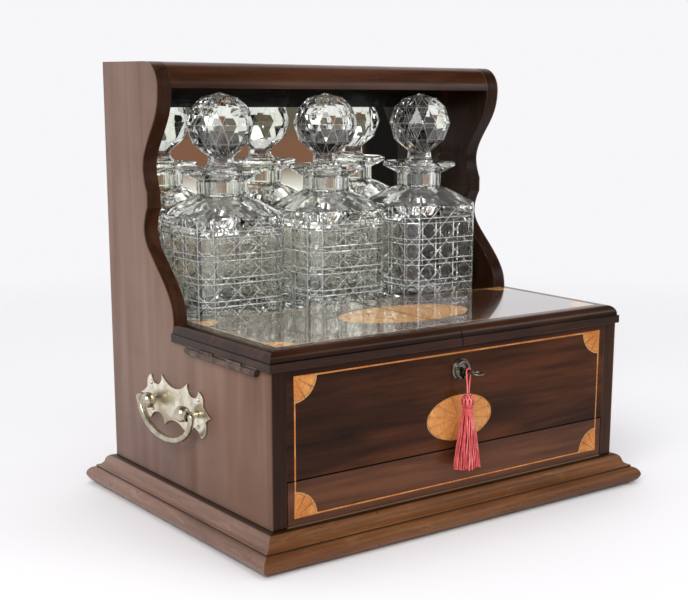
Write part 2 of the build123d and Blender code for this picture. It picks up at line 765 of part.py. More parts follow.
def make_handle():
    """Plate, nails, posts and bail of the left side, and their copies for the right."""
    face = -half_w
    centre = Plane(origin=(face, HANDLE_Y, handle_z), x_dir=(0, -1, 0), z_dir=(-1, 0, 0))
    plate = extrude(centre * plate_outline(), amount=PLATE_T)
    posts = []
    for side in (-1, 1):
        y = HANDLE_Y + side * POST_Y
        post = rod_x((face - PLATE_T, pivot_x), y, handle_z, EYE_W / 2)
        post += rod_y(pivot_x, (y - EYE_W / 2, y + EYE_W / 2), handle_z, POST_R)
        post -= rod_y(pivot_x, (y - EYE_W, y + EYE_W), handle_z, STUB_R + FIT)
        posts.append(post)
    nails = []
    for along, up in NAIL_SPOTS:
        for side in (-1, 1):
            spot = Pos(face - PLATE_T, HANDLE_Y + side * along, handle_z + up)
            dome = Sphere(NAIL_R) & Pos(-NAIL_R, 0, 0) * Box(2 * NAIL_R, 2 * NAIL_R, 2 * NAIL_R)
            nails.append(spot * dome)

    hanging = Plane(origin=(pivot_x, HANDLE_Y, handle_z), x_dir=(0, 1, 0), z_dir=(1, 0, 0))
    bow = hanging * EllipticalCenterArc((0, 0), BAIL_Y, BAIL_DROP, start_angle=180, arc_size=180)
    bail = sweep(Plane(origin=bow @ 0, z_dir=bow % 0) * Circle(BAIL_R), path=bow)
    for side in (-1, 1):
        outer = HANDLE_Y + side * BAIL_Y
        ball_y = HANDLE_Y + side * (POST_Y - EYE_W / 2 - AIR - BALL_END_R)
        bail += rod_y(pivot_x, (ball_y, outer), handle_z, STUB_R)
        bail += Pos(pivot_x, outer, handle_z) * Sphere(BAIL_R + 0.4)
        bail += Pos(pivot_x, ball_y, handle_z) * Sphere(BALL_END_R)
    for name, solid in (("handle_plate", plate), ("bail", bail)):
        save(f"{name}_left", solid)
        save(f"{name}_right", other_side(solid))
    save("handle_posts", *posts, *[other_side(post) for post in posts])
    save("handle_nails", *nails, *[other_side(nail) for nail in nails])


# ---- glass ----
def faceted_ball():
    """A ball cut with triangles: rings of corners, each ring turned half a facet from the
    next, with a low point above and a flat foot below."""
    rings = []
    for i, (out, up) in enumerate(BALL_RINGS):
        turn = pi / BALL_FACETS * (i % 2)
        spokes = [2 * pi * k / BALL_FACETS + turn for k in range(BALL_FACETS)]
        rings.append([(out * cos(a), out * sin(a), up) for a in spokes])
    point = (0, 0, BALL_POINT)
    faces = [rings[0][::-1]]
    for k in range(BALL_FACETS):
        after = (k + 1) % BALL_FACETS
        faces.append([rings[-1][k], rings[-1][after], point])
        for i, (low, high) in enumerate(zip(rings, rings[1:])):
            if i % 2:
                faces += [[low[k], low[after], high[after]], [low[k], high[after], high[k]]]
            else:
                faces += [[low[k], low[after], high[k]], [low[after], high[after], high[k]]]
    return Solid(Shell([Face(Wire.make_polygon(corners, close=True)) for corners in faces]))


def canted_square(width, cant, height):
    """A square with its corners cut off, at a height over the decanter's foot."""
    half, flat = width / 2, width / 2 - cant
    quarter = [(half, -flat), (half, flat)]
    corners = quarter + [(-y, x) for x, y in quarter]
    corners += [(-x, -y) for x, y in corners]
    return Pos(0, 0, height) * make_face(Polyline(*corners, close=True))


def make_decanters():
    regular = SHOULDER_W * (1 - sqrt(0.5))
    body = extrude(canted_square(BODY_W, BODY_CANT, 0), amount=BODY_H)
    shoulder = loft(
        [
            canted_square(BODY_W, BODY_CANT, BODY_H),
            canted_square(SHOULDER_W, regular, SHOULDER_H),
        ],
        ruled=True,
    )
    neck = Pos(0, 0, BODY_H) * extrude(RegularPolygon(NECK_R, NECK_FACETS), amount=MOUTH_H - BODY_H)
    rim = (RIM_H + MOUTH_H) / 2
    lip_edges = [
        Line((0, NECK_H), (NECK_R, NECK_H)),
        Line((NECK_R, NECK_H), (LIP_R - 1.0, RIM_H)),
        ThreePointArc((LIP_R - 1.0, RIM_H), (LIP_R, rim), (LIP_R - 1.0, MOUTH_H)),
        Line((LIP_R - 1.0, MOUTH_H), (0, MOUTH_H)),
        Line((0, MOUTH_H), (0, NECK_H)),
    ]
    lip = revolve(Plane.XZ * make_face(lip_edges), axis=Axis.Z)
    inner_w = BODY_W - 2 * GLASS_T
    inner_cant = BODY_CANT - GLASS_T * (2 - sqrt(2))
    inner_h = BODY_H - GLASS_T
    inside = extrude(canted_square(inner_w, inner_cant, GLASS_BASE), amount=inner_h - GLASS_BASE)
    bore = rod_z(0, 0, (inner_h - 1, MOUTH_H), BORE_R)
    decanter = body + shoulder + neck + lip - inside - bore

    plug = rod_z(0, 0, (MOUTH_H - PLUG_L, MOUTH_H + SEAT), BORE_R - FIT)
    flare = MOUTH_H + SEAT + STEM_FLARE
    stem = loft(
        [Pos(0, 0, MOUTH_H + SEAT) * Circle(STEM_R + STEM_FLARE), Pos(0, 0, flare) * Circle(STEM_R)]
    )
    stem += rod_z(0, 0, (flare, BALL_Z + BALL_RINGS[1][1]), STEM_R)
    stopper = plug + stem + Pos(0, 0, BALL_Z) * faceted_ball()
    for hand, x in decanter_spots.items():
        place = Pos(x, decanter_y, tray_foot)
        save(f"decanter_{hand}", place * decanter)
        save(f"stopper_{hand}", place * stopper)


make_plinth()
make_case()
front_lines = make_front()
make_drawer(front_lines)
make_drawer_pin()
make_lids()
make_hinges()
make_lock()
make_key()
make_escutcheon()
make_tassel()
make_handle()
make_decanters()
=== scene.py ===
"""The looks of the inlaid mahogany tantalus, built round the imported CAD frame.

Lengths are in metres in the row frame: origin in the middle of the underside, +X right,
+Y back, +Z up."""

import json
import math
import random

import bmesh
import bpy
from mathutils import Matrix, Vector


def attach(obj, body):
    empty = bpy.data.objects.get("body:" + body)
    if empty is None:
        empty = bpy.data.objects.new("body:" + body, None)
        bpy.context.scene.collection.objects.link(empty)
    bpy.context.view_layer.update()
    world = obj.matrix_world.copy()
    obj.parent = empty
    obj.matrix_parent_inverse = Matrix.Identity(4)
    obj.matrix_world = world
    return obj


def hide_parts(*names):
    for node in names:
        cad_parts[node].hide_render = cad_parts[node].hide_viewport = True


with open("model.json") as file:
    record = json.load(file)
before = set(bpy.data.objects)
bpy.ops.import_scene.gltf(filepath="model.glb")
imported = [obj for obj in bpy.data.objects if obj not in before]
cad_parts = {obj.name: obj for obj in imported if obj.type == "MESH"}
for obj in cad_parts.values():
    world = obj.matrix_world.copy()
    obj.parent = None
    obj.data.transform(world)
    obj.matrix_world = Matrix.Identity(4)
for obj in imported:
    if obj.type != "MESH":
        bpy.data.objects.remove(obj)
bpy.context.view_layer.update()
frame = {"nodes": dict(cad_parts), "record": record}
MM = 0.001

# ---- sizes repeated from the part's source ----
OUTER_X = 0.170
KEY_Z = 0.120
TASSEL_Y = -0.1304
TRAY_Z = 0.1365  # the decanters' and stoppers' own heights start here
DECANTERS = {"left": -0.1015, "centre": 0.0, "right": 0.1015}
DECANTER_Y = 0.058
BODY_W, BODY_CANT, BODY_H = 0.0795, 0.010, 0.0925
SHOULDER_H, SHOULDER_RISE = 0.1067, 0.0012
GLASS_T, GLASS_BASE, BORE_R = 0.0055, 0.010, 0.012
NECK_R, NECK_H, NECK_FACETS = 0.0195, 0.1188, 12
LIP_R, RIM_H, MOUTH_H = 0.0323, 0.1242, 0.1283
BALL_Z, BALL_FACETS = 0.1623, 14
BALL_RINGS = [  # radius, height over the widest edge
    (0.0106, -0.0245),
    (0.0226, -0.0143),
    (0.0271, 0.0),
    (0.0229, 0.0132),
    (0.0145, 0.0214),
]
BALL_POINT = 0.0252
STEM_R, PLUG_L = 0.0106, 0.024
STRING_X, STRING_FOOT, STRING_TOP, STRING_W = 0.1515, 0.031, 0.134, 0.0017
FAN_R = 0.0195
OVAL_A, OVAL_B, OVAL_Z = 0.0323, 0.0178, 0.0824
LID_STRING_X, LID_FORE, LID_REAR = 0.157, -0.108, 0.0092
LID_OVAL_A, LID_OVAL_B, LID_OVAL_Y = 0.060, 0.035, -0.051
PLINTH_TOP, PLINTH_LEDGE = 0.025, 0.0145
PANEL_FOOT, DRAWER_TOP, LID_LEDGE = 0.0590, 0.0583, 0.1453


def linked(obj):
    bpy.context.collection.objects.link(obj)
    return obj


def circle(count):
    """The angles of count points spread evenly round a circle."""
    return [2 * math.pi * k / count for k in range(count)]


# ---- camera, solved from the corners of the case in the photo ----
PHOTO_W, PHOTO_H = 688, 600  # pixels
AIM_X, AIM_Y = 400, 360  # the pixel that the camera points at
FOCAL = 1291.079  # pixels
CAMERA_AT = (-0.628396, -0.847407, 0.329234)
AZIMUTH, ELEVATION, ROLL = (math.radians(a) for a in (-38.11294, 11.92873, 0.57397))
SENSOR = 36.0  # mm


def make_camera():
    back = Vector(
        (
            math.sin(AZIMUTH) * math.cos(ELEVATION),
            -math.cos(AZIMUTH) * math.cos(ELEVATION),
            math.sin(ELEVATION),
        )
    )
    right = (-back).cross(Vector((0, 0, 1))).normalized()
    up = right.cross(-back)
    turned_right = right * math.cos(ROLL) + up * math.sin(ROLL)
    turned_up = up * math.cos(ROLL) - right * math.sin(ROLL)
    data = bpy.data.cameras.new("camera")
    data.sensor_width = SENSOR
    data.lens = FOCAL / PHOTO_W * SENSOR
    data.shift_x = (PHOTO_W / 2 - AIM_X) / PHOTO_W
    data.shift_y = (AIM_Y - PHOTO_H / 2) / PHOTO_W
    data.clip_start = 0.01
    camera = linked(bpy.data.objects.new("camera", data))
    matrix = Matrix((turned_right, turned_up, back)).transposed().to_4x4()
    matrix.translation = Vector(CAMERA_AT)
    camera.matrix_world = matrix
    bpy.context.scene.camera = camera


# ---- shader helpers ----
class Paint:
    """A node material whose Principled shader takes its finish from a few calls."""

    def __init__(self, name):
        self.material = bpy.data.materials.new(name)
        self.material.use_nodes = True
        self.tree = self.material.node_tree
        self.shader = self.tree.nodes["Principled BSDF"]
        self._place = None

    def node(self, kind, inputs=None, **settings):
        made = self.tree.nodes.new("ShaderNode" + kind)
        for key, value in settings.items():
            setattr(made, key, value)
        for key, value in (inputs or {}).items():
            self.feed(made.inputs[key], value)
        return made

    def feed(self, socket, value):
        """Gives a socket another one's output or a plain value."""
        if isinstance(value, bpy.types.NodeSocket):
            self.tree.links.new(value, socket)
        else:
            socket.default_value = value

    def place(self):
        """The point in the row frame, before any joint moves the piece."""
        if self._place is None:
            self._place = self.node("TexCoord").outputs["Object"]
        return self._place

    def axes(self):
        return self.node("SeparateXYZ", {"Vector": self.place()}).outputs

    def math(self, operation, a, b=0.0):
        return self.node("Math", {0: a, 1: b}, operation=operation).outputs[0]

    def times(self, a, b):
        return self.math("MULTIPLY", a, b)

    def plus(self, a, b):
        return self.math("ADD", a, b)

    def off(self, a, b):
        """The distance between two values."""
        return self.math("ABSOLUTE", self.math("SUBTRACT", a, b))

    def scaled(self, scale=(1, 1, 1), shift=(0, 0, 0)):
        """The point, scaled along each axis and moved, for a noise to be looked up at."""
        inputs = {"Vector": self.place(), "Scale": scale, "Location": shift}
        return self.node("Mapping", inputs).outputs[0]

    def noise(self, vector, scale, detail=4.0, rough=0.5, distortion=0.0):
        names = ("Vector", "Scale", "Detail", "Roughness", "Distortion")
        inputs = dict(zip(names, (vector, scale, detail, rough, distortion)))
        return self.node("TexNoise", inputs).outputs["Fac"]

    def ramp(self, factor, *stops):
        made = self.node("ValToRGB", {"Fac": factor})
        elements = made.color_ramp.elements
        while len(elements) < len(stops):
            elements.new(0.5)
        for element, (position, colour) in zip(elements, stops):
            element.position = position
            element.color = (*colour, 1)
        return made.outputs["Color"]

    def level(self, factor, low, high, low_to=0.0, high_to=1.0):
        """Goes from low_to to high_to as the factor goes from low to high, and no further."""
        names = ("Value", "From Min", "From Max", "To Min", "To Max")
        inputs = dict(zip(names, (factor, low, high, low_to, high_to)))
        return self.node("MapRange", inputs).outputs[0]

    def mix(self, factor, a, b, blend="MIX"):
        a, b = (c if isinstance(c, bpy.types.NodeSocket) else (*c, 1) for c in (a, b))
        made = self.node("Mix", {0: factor, 6: a, 7: b}, data_type="RGBA", blend_type=blend)
        return made.outputs[2]

    def seam_shaded(self, colour, seams, dark):
        """Colour with dark lines of painted shade across it, along gaps and grooves."""
        for axis, place, reach in seams:
            off = self.off(self.axes()[axis], place)
            colour = self.mix(self.level(off, reach, reach * 0.5, 0.0, 0.9), colour, dark)
        return colour

    def dull(self, seams, rough):
        """Takes the polish off the seams."""
        clear = 1.0
        for axis, place, reach in seams:
            off = self.off(self.axes()[axis], place)
            clear = self.times(self.level(off, reach * 0.5, reach), clear)
        inside = self.math("SUBTRACT", 1.0, clear)
        self.set(Coat_Weight=clear, Roughness=self.math("MAXIMUM", rough, inside))

    def set(self, **values):
        """Gives inputs of the shader, named with _ for each space."""
        for key, value in values.items():
            self.feed(self.shader.inputs[key.replace("_", " ")], value)

    def bump(self, height, distance, strength, rounded=None):
        inputs = {"Height": height, "Distance": distance, "Strength": strength}
        if rounded:
            inputs["Normal"] = self.node("Bevel", {"Radius": rounded}, samples=4).outputs[0]
        self.set(Normal=self.node("Bump", inputs).outputs[0])

    def edges(self, radius):
        """1 along the arrises, 0 on the flats."""
        soft = self.node("Bevel", {"Radius": radius}, samples=4).outputs[0]
        plain = self.node("NewGeometry").outputs["Normal"]
        dot = self.node("VectorMath", {0: soft, 1: plain}, operation="DOT_PRODUCT")
        return self.level(dot.outputs["Value"], 0.985, 0.86)


GRAIN = {"x": (0.07, 1, 1), "y": (1, 0.07, 1), "z": (1, 1, 0.07)}  # noise drawn out along it
SPLIT = ("X", 0.0, 1.1 * MM)  # the seam between the two lids, marked with a dark line of painted shade
SEGMENTS = 12  # of the inlaid ovals, and of a full turn of the fans


def lit_outer_faces(paint, colour, side_light_tones, warped, streaks, cloud):
    """Colour, but paler on the outermost faces along X as painted light, where it is browner
    towards the front and greyer towards the foot."""
    axes = paint.axes()
    soft = paint.plus(paint.times(warped, 0.6), paint.times(cloud, 0.4))
    pale = paint.ramp(paint.level(soft, 0.38, 0.62), *zip((0.0, 0.5, 1.0), side_light_tones))
    towards_front = paint.times(paint.level(axes["Y"], 0.03, -0.09), 0.8)
    pale = paint.mix(towards_front, pale, (0.96, 0.80, 0.64), "MULTIPLY")
    towards_foot = paint.level(axes["Z"], 0.13, 0.04)
    pale = paint.mix(towards_foot, pale, (0.74, 0.70, 0.68), "MULTIPLY")
    pale = paint.mix(paint.times(streaks, 0.35), pale, [c * 0.72 for c in side_light_tones[0]])
    outer = paint.level(paint.math("ABSOLUTE", axes["X"]), OUTER_X - 0.0012, OUTER_X - 0.0004)
    return paint.mix(outer, colour, pale)


def wood(
    name,
    grain,
    tones,
    worn=None,
    *,
    gloss,
    coat=0.0,
    figure=0.5,
    side_light_tones=None,
    specular=0.2,
    flame=None,
    seams=(),
    rubbed=0.0,
):
    """Polished wood with its grain along one axis. Tones are the dark, middle and light
    colours of the grain, worn that of the rubbed arrises, the side tones those of the outer
    side faces, paler there as painted light, and flame that of the glowing figure. Seams
    are painted shade: dark lines along gaps and grooves, each as the axis it lies across,
    its place and its half width. Rubbed is how far scuffs show."""
    paint = Paint(name)
    dark, mid, light = tones
    across = paint.scaled(GRAIN[grain])
    cloud = paint.noise(paint.scaled(shift=(0.3, 0.1, 0.7)), 9.0, 3.0)
    warped = paint.noise(across, 26.0, 5.0, 0.55, 0.6 + figure)
    streaks = paint.noise(across, 150.0, 6.0, 0.62, 0.25)
    fine = paint.noise(paint.scaled([6 * s * s + s for s in GRAIN[grain]]), 260.0, 3.0, 0.6)
    figured = paint.plus(paint.times(warped, 0.55), paint.times(streaks, 0.3))
    figured = paint.level(paint.plus(figured, paint.times(cloud, 0.15)), 0.36, 0.64)
    colour = paint.ramp(figured, (0.0, dark), (0.5, mid), (1.0, light))
    pores = paint.level(fine, 0.60, 0.72)
    if flame:
        slanted = {"Vector": paint.place(), "Rotation": (0, 0.30, 0), "Scale": (0.30, 1, 1.5)}
        drift = paint.node("Mapping", slanted).outputs[0]
        glow = paint.level(paint.noise(drift, 17.0, 3.0, 0.5, 0.5), 0.50, 0.70)
        glow = paint.times(glow, paint.level(streaks, 0.35, 0.62, 0.35, 0.95))
        colour = paint.mix(glow, colour, flame)
    colour = paint.mix(paint.times(pores, 0.45), colour, [c * 0.45 for c in dark])
    # painted light: paler tones on the outer side faces
    if side_light_tones:
        colour = lit_outer_faces(paint, colour, side_light_tones, warped, streaks, cloud)
    if worn:
        patchy = paint.times(paint.edges(0.0011), paint.level(cloud, 0.42, 0.6))
        colour = paint.mix(paint.times(patchy, 0.75), colour, worn)
    if rubbed:
        long = paint.scaled([0.3 if axis == grain else 1.4 for axis in "xyz"])
        scuffs = paint.noise(long, 70.0, 8.0, 0.75, 0.8)
        colour = paint.mix(paint.level(scuffs, 0.54, 0.70, 0.0, rubbed), colour, worn)
        knocks = paint.noise(paint.scaled(), 330.0, 2.0, 0.5, 1.5)
        knocked = [c * 0.3 for c in dark]
        colour = paint.mix(paint.level(knocks, 0.68, 0.74, 0.0, 0.9), colour, knocked)
    # painted shade: dark lines along the gaps and grooves
    colour = paint.seam_shaded(colour, seams, [c * 0.2 for c in dark])
    smears = paint.noise(paint.scaled(), 34.0, 4.0, 0.6)
    rough = paint.level(smears, 0.3, 0.75, gloss * 0.75, gloss * 1.35)
    paint.set(Base_Color=colour, Roughness=rough, Specular_IOR_Level=specular)
    paint.set(Coat_Weight=coat, Coat_Roughness=0.04)
    if coat and seams:
        paint.dull(seams, rough)
    paint.bump(paint.plus(fine, paint.times(streaks, 0.6)), 0.00006, 0.5, 0.0006)
    return paint


def build_woods():
    dark = ((0.012, 0.0038, 0.0014), (0.034, 0.0115, 0.0045), (0.078, 0.026, 0.010))
    worn = (0.20, 0.085, 0.035)
    # dark lines of painted shade at the top of the plinth, at its ledge and at the drawer's gap
    foot = ("Z", PLINTH_TOP, 0.9 * MM)
    steps = [("Z", PLINTH_LEDGE, 0.8 * MM), foot]
    drawer_line = ("Z", (PANEL_FOOT + DRAWER_TOP) / 2, MM)
    # paler tones of the sides' outer faces, painted light
    side_light_tones = ((0.150, 0.086, 0.062), (0.228, 0.140, 0.106), (0.295, 0.190, 0.148))
    woods = {}
    woods["side"] = wood(
        "mahogany_side",
        "z",
        dark,
        worn,
        gloss=0.36,
        figure=0.4,
        side_light_tones=side_light_tones,
        specular=0.14,
        seams=[foot],
    )
    woods["front"] = wood(
        "mahogany_front",
        "x",
        dark,
        worn,
        gloss=0.20,
        figure=0.9,
        specular=0.10,
        flame=(0.130, 0.038, 0.013),
        seams=[drawer_line],
    )
    lit = ((0.040, 0.013, 0.006), (0.084, 0.030, 0.014), (0.140, 0.053, 0.025))
    woods["drawer"] = wood(
        "mahogany_drawer",
        "x",
        lit,
        worn,
        gloss=0.24,
        figure=0.9,
        specular=0.14,
        seams=[drawer_line],
    )
    plinth = ((0.060, 0.020, 0.006), (0.135, 0.049, 0.015), (0.230, 0.092, 0.030))
    pale = (0.34, 0.165, 0.070)
    woods["plinth_x"] = wood(
        "mahogany_plinth_x", "x", plinth, pale, gloss=0.34, figure=0.3, seams=steps, rubbed=0.35
    )
    # the left and right plinth pieces get a paler, greyer copy of the plinth's tones: painted
    # light and sheen from the left
    lit_plinth = ((0.115, 0.060, 0.042), (0.225, 0.130, 0.096), (0.330, 0.210, 0.165))
    greyed = (0.40, 0.27, 0.20)
    woods["plinth_y"] = wood(
        "mahogany_plinth_y", "y", lit_plinth, greyed, gloss=0.34, figure=0.3, seams=steps, rubbed=0.4
    )
    woods["canopy"] = wood(
        "mahogany_canopy", "x", dark, worn, gloss=0.22, specular=0.25, flame=(0.070, 0.027, 0.014)
    )
    warm = ((0.030, 0.011, 0.006), (0.062, 0.024, 0.013), (0.110, 0.044, 0.023))
    woods["lid"] = wood(
        "mahogany_lid",
        "x",
        warm,
        worn,
        gloss=0.12,
        coat=1.0,
        figure=0.6,
        specular=0.5,
        seams=[SPLIT],
    )
    edge = ((0.010, 0.0035, 0.0016), (0.026, 0.0095, 0.0045), (0.058, 0.021, 0.010))
    woods["lid_edge"] = wood(
        "mahogany_edge_x",
        "x",
        edge,
        worn,
        gloss=0.20,
        figure=0.3,
        specular=0.22,
        seams=[("Z", LID_LEDGE, MM), SPLIT],
    )
    plain = ((0.13, 0.075, 0.040), (0.20, 0.125, 0.070), (0.29, 0.19, 0.11))
    woods["plain"] = wood("plain_wood", "x", plain, gloss=0.55, figure=0.2)
    woods["plain_y"] = wood("plain_wood_y", "y", plain, gloss=0.55, figure=0.2)
    black = ((0.004, 0.004, 0.0035), (0.008, 0.0075, 0.007), (0.014, 0.012, 0.010))
    woods["black"] = wood("ebonised", "x", black, gloss=0.22, coat=0.1, figure=0.2)
    return woods


def inlay(name, fans, oval, plane, polished):
    """Satinwood stringing with fans in its corners and an oval. Plane names the two axes
    it lies in. Fans are at plus and minus the first number along the one axis, and at the
    other two along the other. The oval has its centre along that axis, and half sizes."""
    paint = Paint(name)
    axes = paint.axes()
    u, v = axes[plane[0]], axes[plane[1]]
    corner_u, low_v, high_v = fans
    across = paint.math("SUBTRACT", corner_u, paint.math("ABSOLUTE", u))
    from_low = paint.math("SUBTRACT", v, low_v)
    from_high = paint.math("SUBTRACT", high_v, v)
    up = paint.math("MINIMUM", from_low, from_high)

    def spokes(a, b, phase=0.0):
        """How far round its own segment a point is."""
        turns = paint.times(paint.math("ARCTAN2", a, b), SEGMENTS / (2 * math.pi))
        return paint.math("FRACT", paint.plus(turns, 10.0 + phase))

    def hypot(a, b):
        squares = paint.plus(paint.math("POWER", a, 2), paint.math("POWER", b, 2))
        return paint.math("SQRT", squares)

    def shade(share, radius, rim):
        """How far a point is on the dark line round a segment, on the side that is
        scorched, on the paler rim and on the line inside the rim."""
        line = paint.level(paint.off(share, 0.5), 0.455, 0.49)
        scorch = paint.level(share, 0.0, 0.32, 0.55, 0.0)
        bow = paint.math("SINE", paint.times(share, math.pi))
        edge = paint.math("SUBTRACT", radius, paint.times(bow, 0.07))
        band = paint.level(edge, rim, rim + 0.03)
        outline = paint.level(paint.off(edge, rim), 0.03, 0.0)
        return line, scorch, band, outline

    radius = paint.math("DIVIDE", hypot(across, up), FAN_R)
    in_fan = paint.math("LESS_THAN", radius, 1.02)
    fan_parts = shade(spokes(up, across), radius, 0.87)

    centre_v, half_u, half_v = oval
    pu = paint.math("DIVIDE", u, half_u)
    pv = paint.math("DIVIDE", paint.math("SUBTRACT", v, centre_v), half_v)
    out = hypot(pu, pv)
    in_oval = paint.math("LESS_THAN", out, 1.02)
    oval_parts = shade(spokes(pv, pu, 0.5), out, 0.93)

    grain = paint.noise(paint.scaled(), 420.0, 4.0, 0.6)
    cloud = paint.noise(paint.scaled(), 60.0, 2.0)
    tone = paint.plus(paint.times(grain, 0.4), paint.times(cloud, 0.6))
    colour = paint.ramp(
        paint.level(tone, 0.35, 0.65),
        (0.0, (0.44, 0.135, 0.024)),
        (0.5, (0.58, 0.200, 0.040)),
        (1.0, (0.70, 0.310, 0.085)),
    )
    inside_line = paint.math("MINIMUM", across, up)
    off_middle = paint.off(inside_line, STRING_W / 2)
    border = paint.level(off_middle, 0.45 * MM, 0.62 * MM)
    string = paint.mix(border, colour, (0.055, 0.020, 0.008))
    for inside, parts, firm in ((in_fan, fan_parts, 0.85), (in_oval, oval_parts, 0.4)):
        line, scorch, band, outline = parts
        scorch = paint.times(scorch, firm)
        lifted = paint.mix(0.3 * (1 - firm), colour, (1.0, 0.62, 0.25))
        drawn = paint.mix(scorch, lifted, (0.30, 0.080, 0.014))
        drawn = paint.mix(paint.times(band, 0.7), drawn, (0.50, 0.29, 0.12))
        drawn = paint.mix(paint.times(outline, 0.55), drawn, (0.15, 0.05, 0.012))
        drawn = paint.mix(paint.times(line, firm), drawn, (0.10, 0.028, 0.007))
        string = paint.mix(inside, string, drawn)
    if polished:
        string = paint.mix(0.35, string, (0.72, 0.40, 0.06))
        # painted shade along the gap between the lids
        string = paint.seam_shaded(string, [SPLIT], (0.010, 0.004, 0.002))
    rough = paint.level(grain, 0.3, 0.7, 0.22, 0.34)
    paint.set(Base_Color=string, Roughness=rough, Specular_IOR_Level=0.2, Coat_Roughness=0.04)
    if polished:
        paint.dull([SPLIT], rough)
    paint.bump(grain, 0.00004, 0.4)
    return paint


def metal(name, dark, light, rough, hollow_shade=0.6):
    """Worn metal with painted shade in its hollows, rubbed edges and fine scratches."""
    paint = Paint(name)
    blotch = paint.noise(paint.scaled(), 120.0, 6.0, 0.62, 0.4)
    scratch = paint.noise(paint.scaled((1, 0.12, 0.6)), 2600.0, 3.0)
    colour = paint.mix(paint.level(blotch, 0.36, 0.62), dark, light)
    bright = [min(1, c * 1.18) for c in light]
    colour = paint.mix(paint.times(paint.edges(0.0005), 0.7), colour, bright)
    # painted shade in the hollows and where other parts come close
    hollow = paint.node("AmbientOcclusion", {"Distance": 0.003}, samples=8).outputs["AO"]
    hollow_shade_colour = [c * 0.22 for c in dark]
    colour = paint.mix(paint.level(hollow, 0.80, 0.40, 0.0, hollow_shade), colour, hollow_shade_colour)
    paint.set(Base_Color=colour, Metallic=1.0)
    paint.set(Roughness=paint.level(blotch, 0.35, 0.65, rough * 1.3, rough * 0.8))
    paint.bump(paint.plus(scratch, blotch), 0.00003, 0.35, 0.0004)
    return paint


def glass(name, clear=1.0, rough=0.0):
    """Clear glass, or whiter, partly diffuse glass, which on cut walls turned to the light is a
    painted highlight.
    """
    paint = Paint(name)
    paint.set(
        Base_Color=(0.980, 0.989, 0.967, 1),
        Roughness=rough,
        IOR=1.54,
        Transmission_Weight=clear,
    )
    return paint


def silk():
    """Red silk, pale where the light slides over its threads, with painted shade between them."""
    paint = Paint("silk")
    slub = paint.noise(paint.scaled((1, 1, 0.2)), 900.0, 4.0, 0.6)
    patch = paint.noise(paint.scaled((1, 1, 0.5)), 160.0, 2.0)
    tone = paint.plus(paint.times(slub, 0.5), paint.times(patch, 0.5))
    colour = paint.ramp(
        paint.level(tone, 0.36, 0.64),
        (0.0, (0.50, 0.036, 0.046)),
        (0.5, (0.78, 0.100, 0.098)),
        (1.0, (0.96, 0.270, 0.230)),
    )
    # painted shade in the gaps between the threads
    between = paint.node("AmbientOcclusion", {"Distance": 0.0016}, samples=8).outputs["AO"]
    colour = paint.mix(paint.level(between, 0.85, 0.35), colour, (0.17, 0.006, 0.014))
    paint.set(
        Base_Color=colour,
        Roughness=0.42,
        Sheen_Weight=0.5,
        Sheen_Roughness=0.35,
        Sheen_Tint=(1.0, 0.72, 0.74, 1.0),
    )
    paint.bump(slub, 0.00008, 0.6)
    return paint


def mirror_glass():
    """Old looking-glass with a faint haze."""
    paint = Paint("old_mirror")
    haze = paint.noise(paint.scaled(), 40.0, 4.0)
    paint.set(
        Base_Color=paint.ramp(haze, (0.3, (0.86, 0.88, 0.83)), (0.7, (0.92, 0.935, 0.89))),
        Metallic=1.0,
        Roughness=paint.level(haze, 0.3, 0.7, 0.015, 0.035),
    )
    return paint


# ---- mesh helpers ----
def new_mesh(name, vertices, faces):
    mesh = bpy.data.meshes.new(name)
    mesh.from_pydata(vertices, [], faces)
    mesh.update()
    return mesh


def smooth(mesh, angle):
    """Shades a mesh smooth over its edges below an angle in degrees."""
    mesh.shade_smooth()
    mesh.set_sharp_from_angle(angle=math.radians(angle))


def dressed(obj, paint, body, node):
    """Puts a piece of the object in the scene, in place of a CAD node."""
    linked(obj)
    if not obj.data.materials:
        obj.data.materials.append(paint.material)
    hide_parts(node)
    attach(obj, body)


def piece(name, shape, angle, paint, body, node):
    """A dressed piece made of a Mesh, smooth over its edges below an angle in degrees."""
    mesh = new_mesh(name, shape.vertices, shape.faces)
    smooth(mesh, angle)
    dressed(bpy.data.objects.new(name, mesh), paint, body, node)


def rings_to_faces(count, rings, start=0):
    """Quads between successive closed rings of count points."""
    faces = []
    for ring in range(rings - 1):
        low = start + ring * count
        for k in range(count):
            after = (k + 1) % count
            faces.append((low + k, low + after, low + count + after, low + count + k))
    return faces


class Mesh:
    """Gathers tubes and rings into one mesh."""

    def __init__(self):
        self.vertices, self.faces = [], []

    def tube(self, points, radius, sides, closed=False):
        """A tube along points. Radius is a number or one for each point."""
        points = [Vector(p) for p in points]
        radii = radius if isinstance(radius, (list, tuple)) else [radius] * len(points)
        start = len(self.vertices)
        side = None
        for i, point in enumerate(points):
            if closed:
                ahead = points[(i + 1) % len(points)] - points[i - 1]
            else:
                ahead = points[min(i + 1, len(points) - 1)] - points[max(i - 1, 0)]
            ahead = ahead.normalized()
            if side is None:
                side = ahead.orthogonal().normalized()
            side = (side - ahead * side.dot(ahead)).normalized()
            other = ahead.cross(side)
            for a in circle(sides):
                out = side * math.cos(a) + other * math.sin(a)
                self.vertices.append(point + out * radii[i])
        self.faces += rings_to_faces(sides, len(points), start)
        last = start + (len(points) - 1) * sides
        if closed:
            self.faces += [
                (last + k, last + (k + 1) % sides, start + (k + 1) % sides, start + k)
                for k in range(sides)
            ]
        else:
            self.faces.append(tuple(start + k for k in reversed(range(sides))))
            self.faces.append(tuple(last + k for k in range(sides)))

    def revolve(self, profile, y, sides):
        """Profile as (radius, height) from foot to top round a vertical line at y."""
        start = len(self.vertices)
        for radius, z in profile:
            for a in circle(sides):
                self.vertices.append(Vector((radius * math.cos(a), y + radius * math.sin(a), z)))
        self.faces += rings_to_faces(sides, len(profile), start)


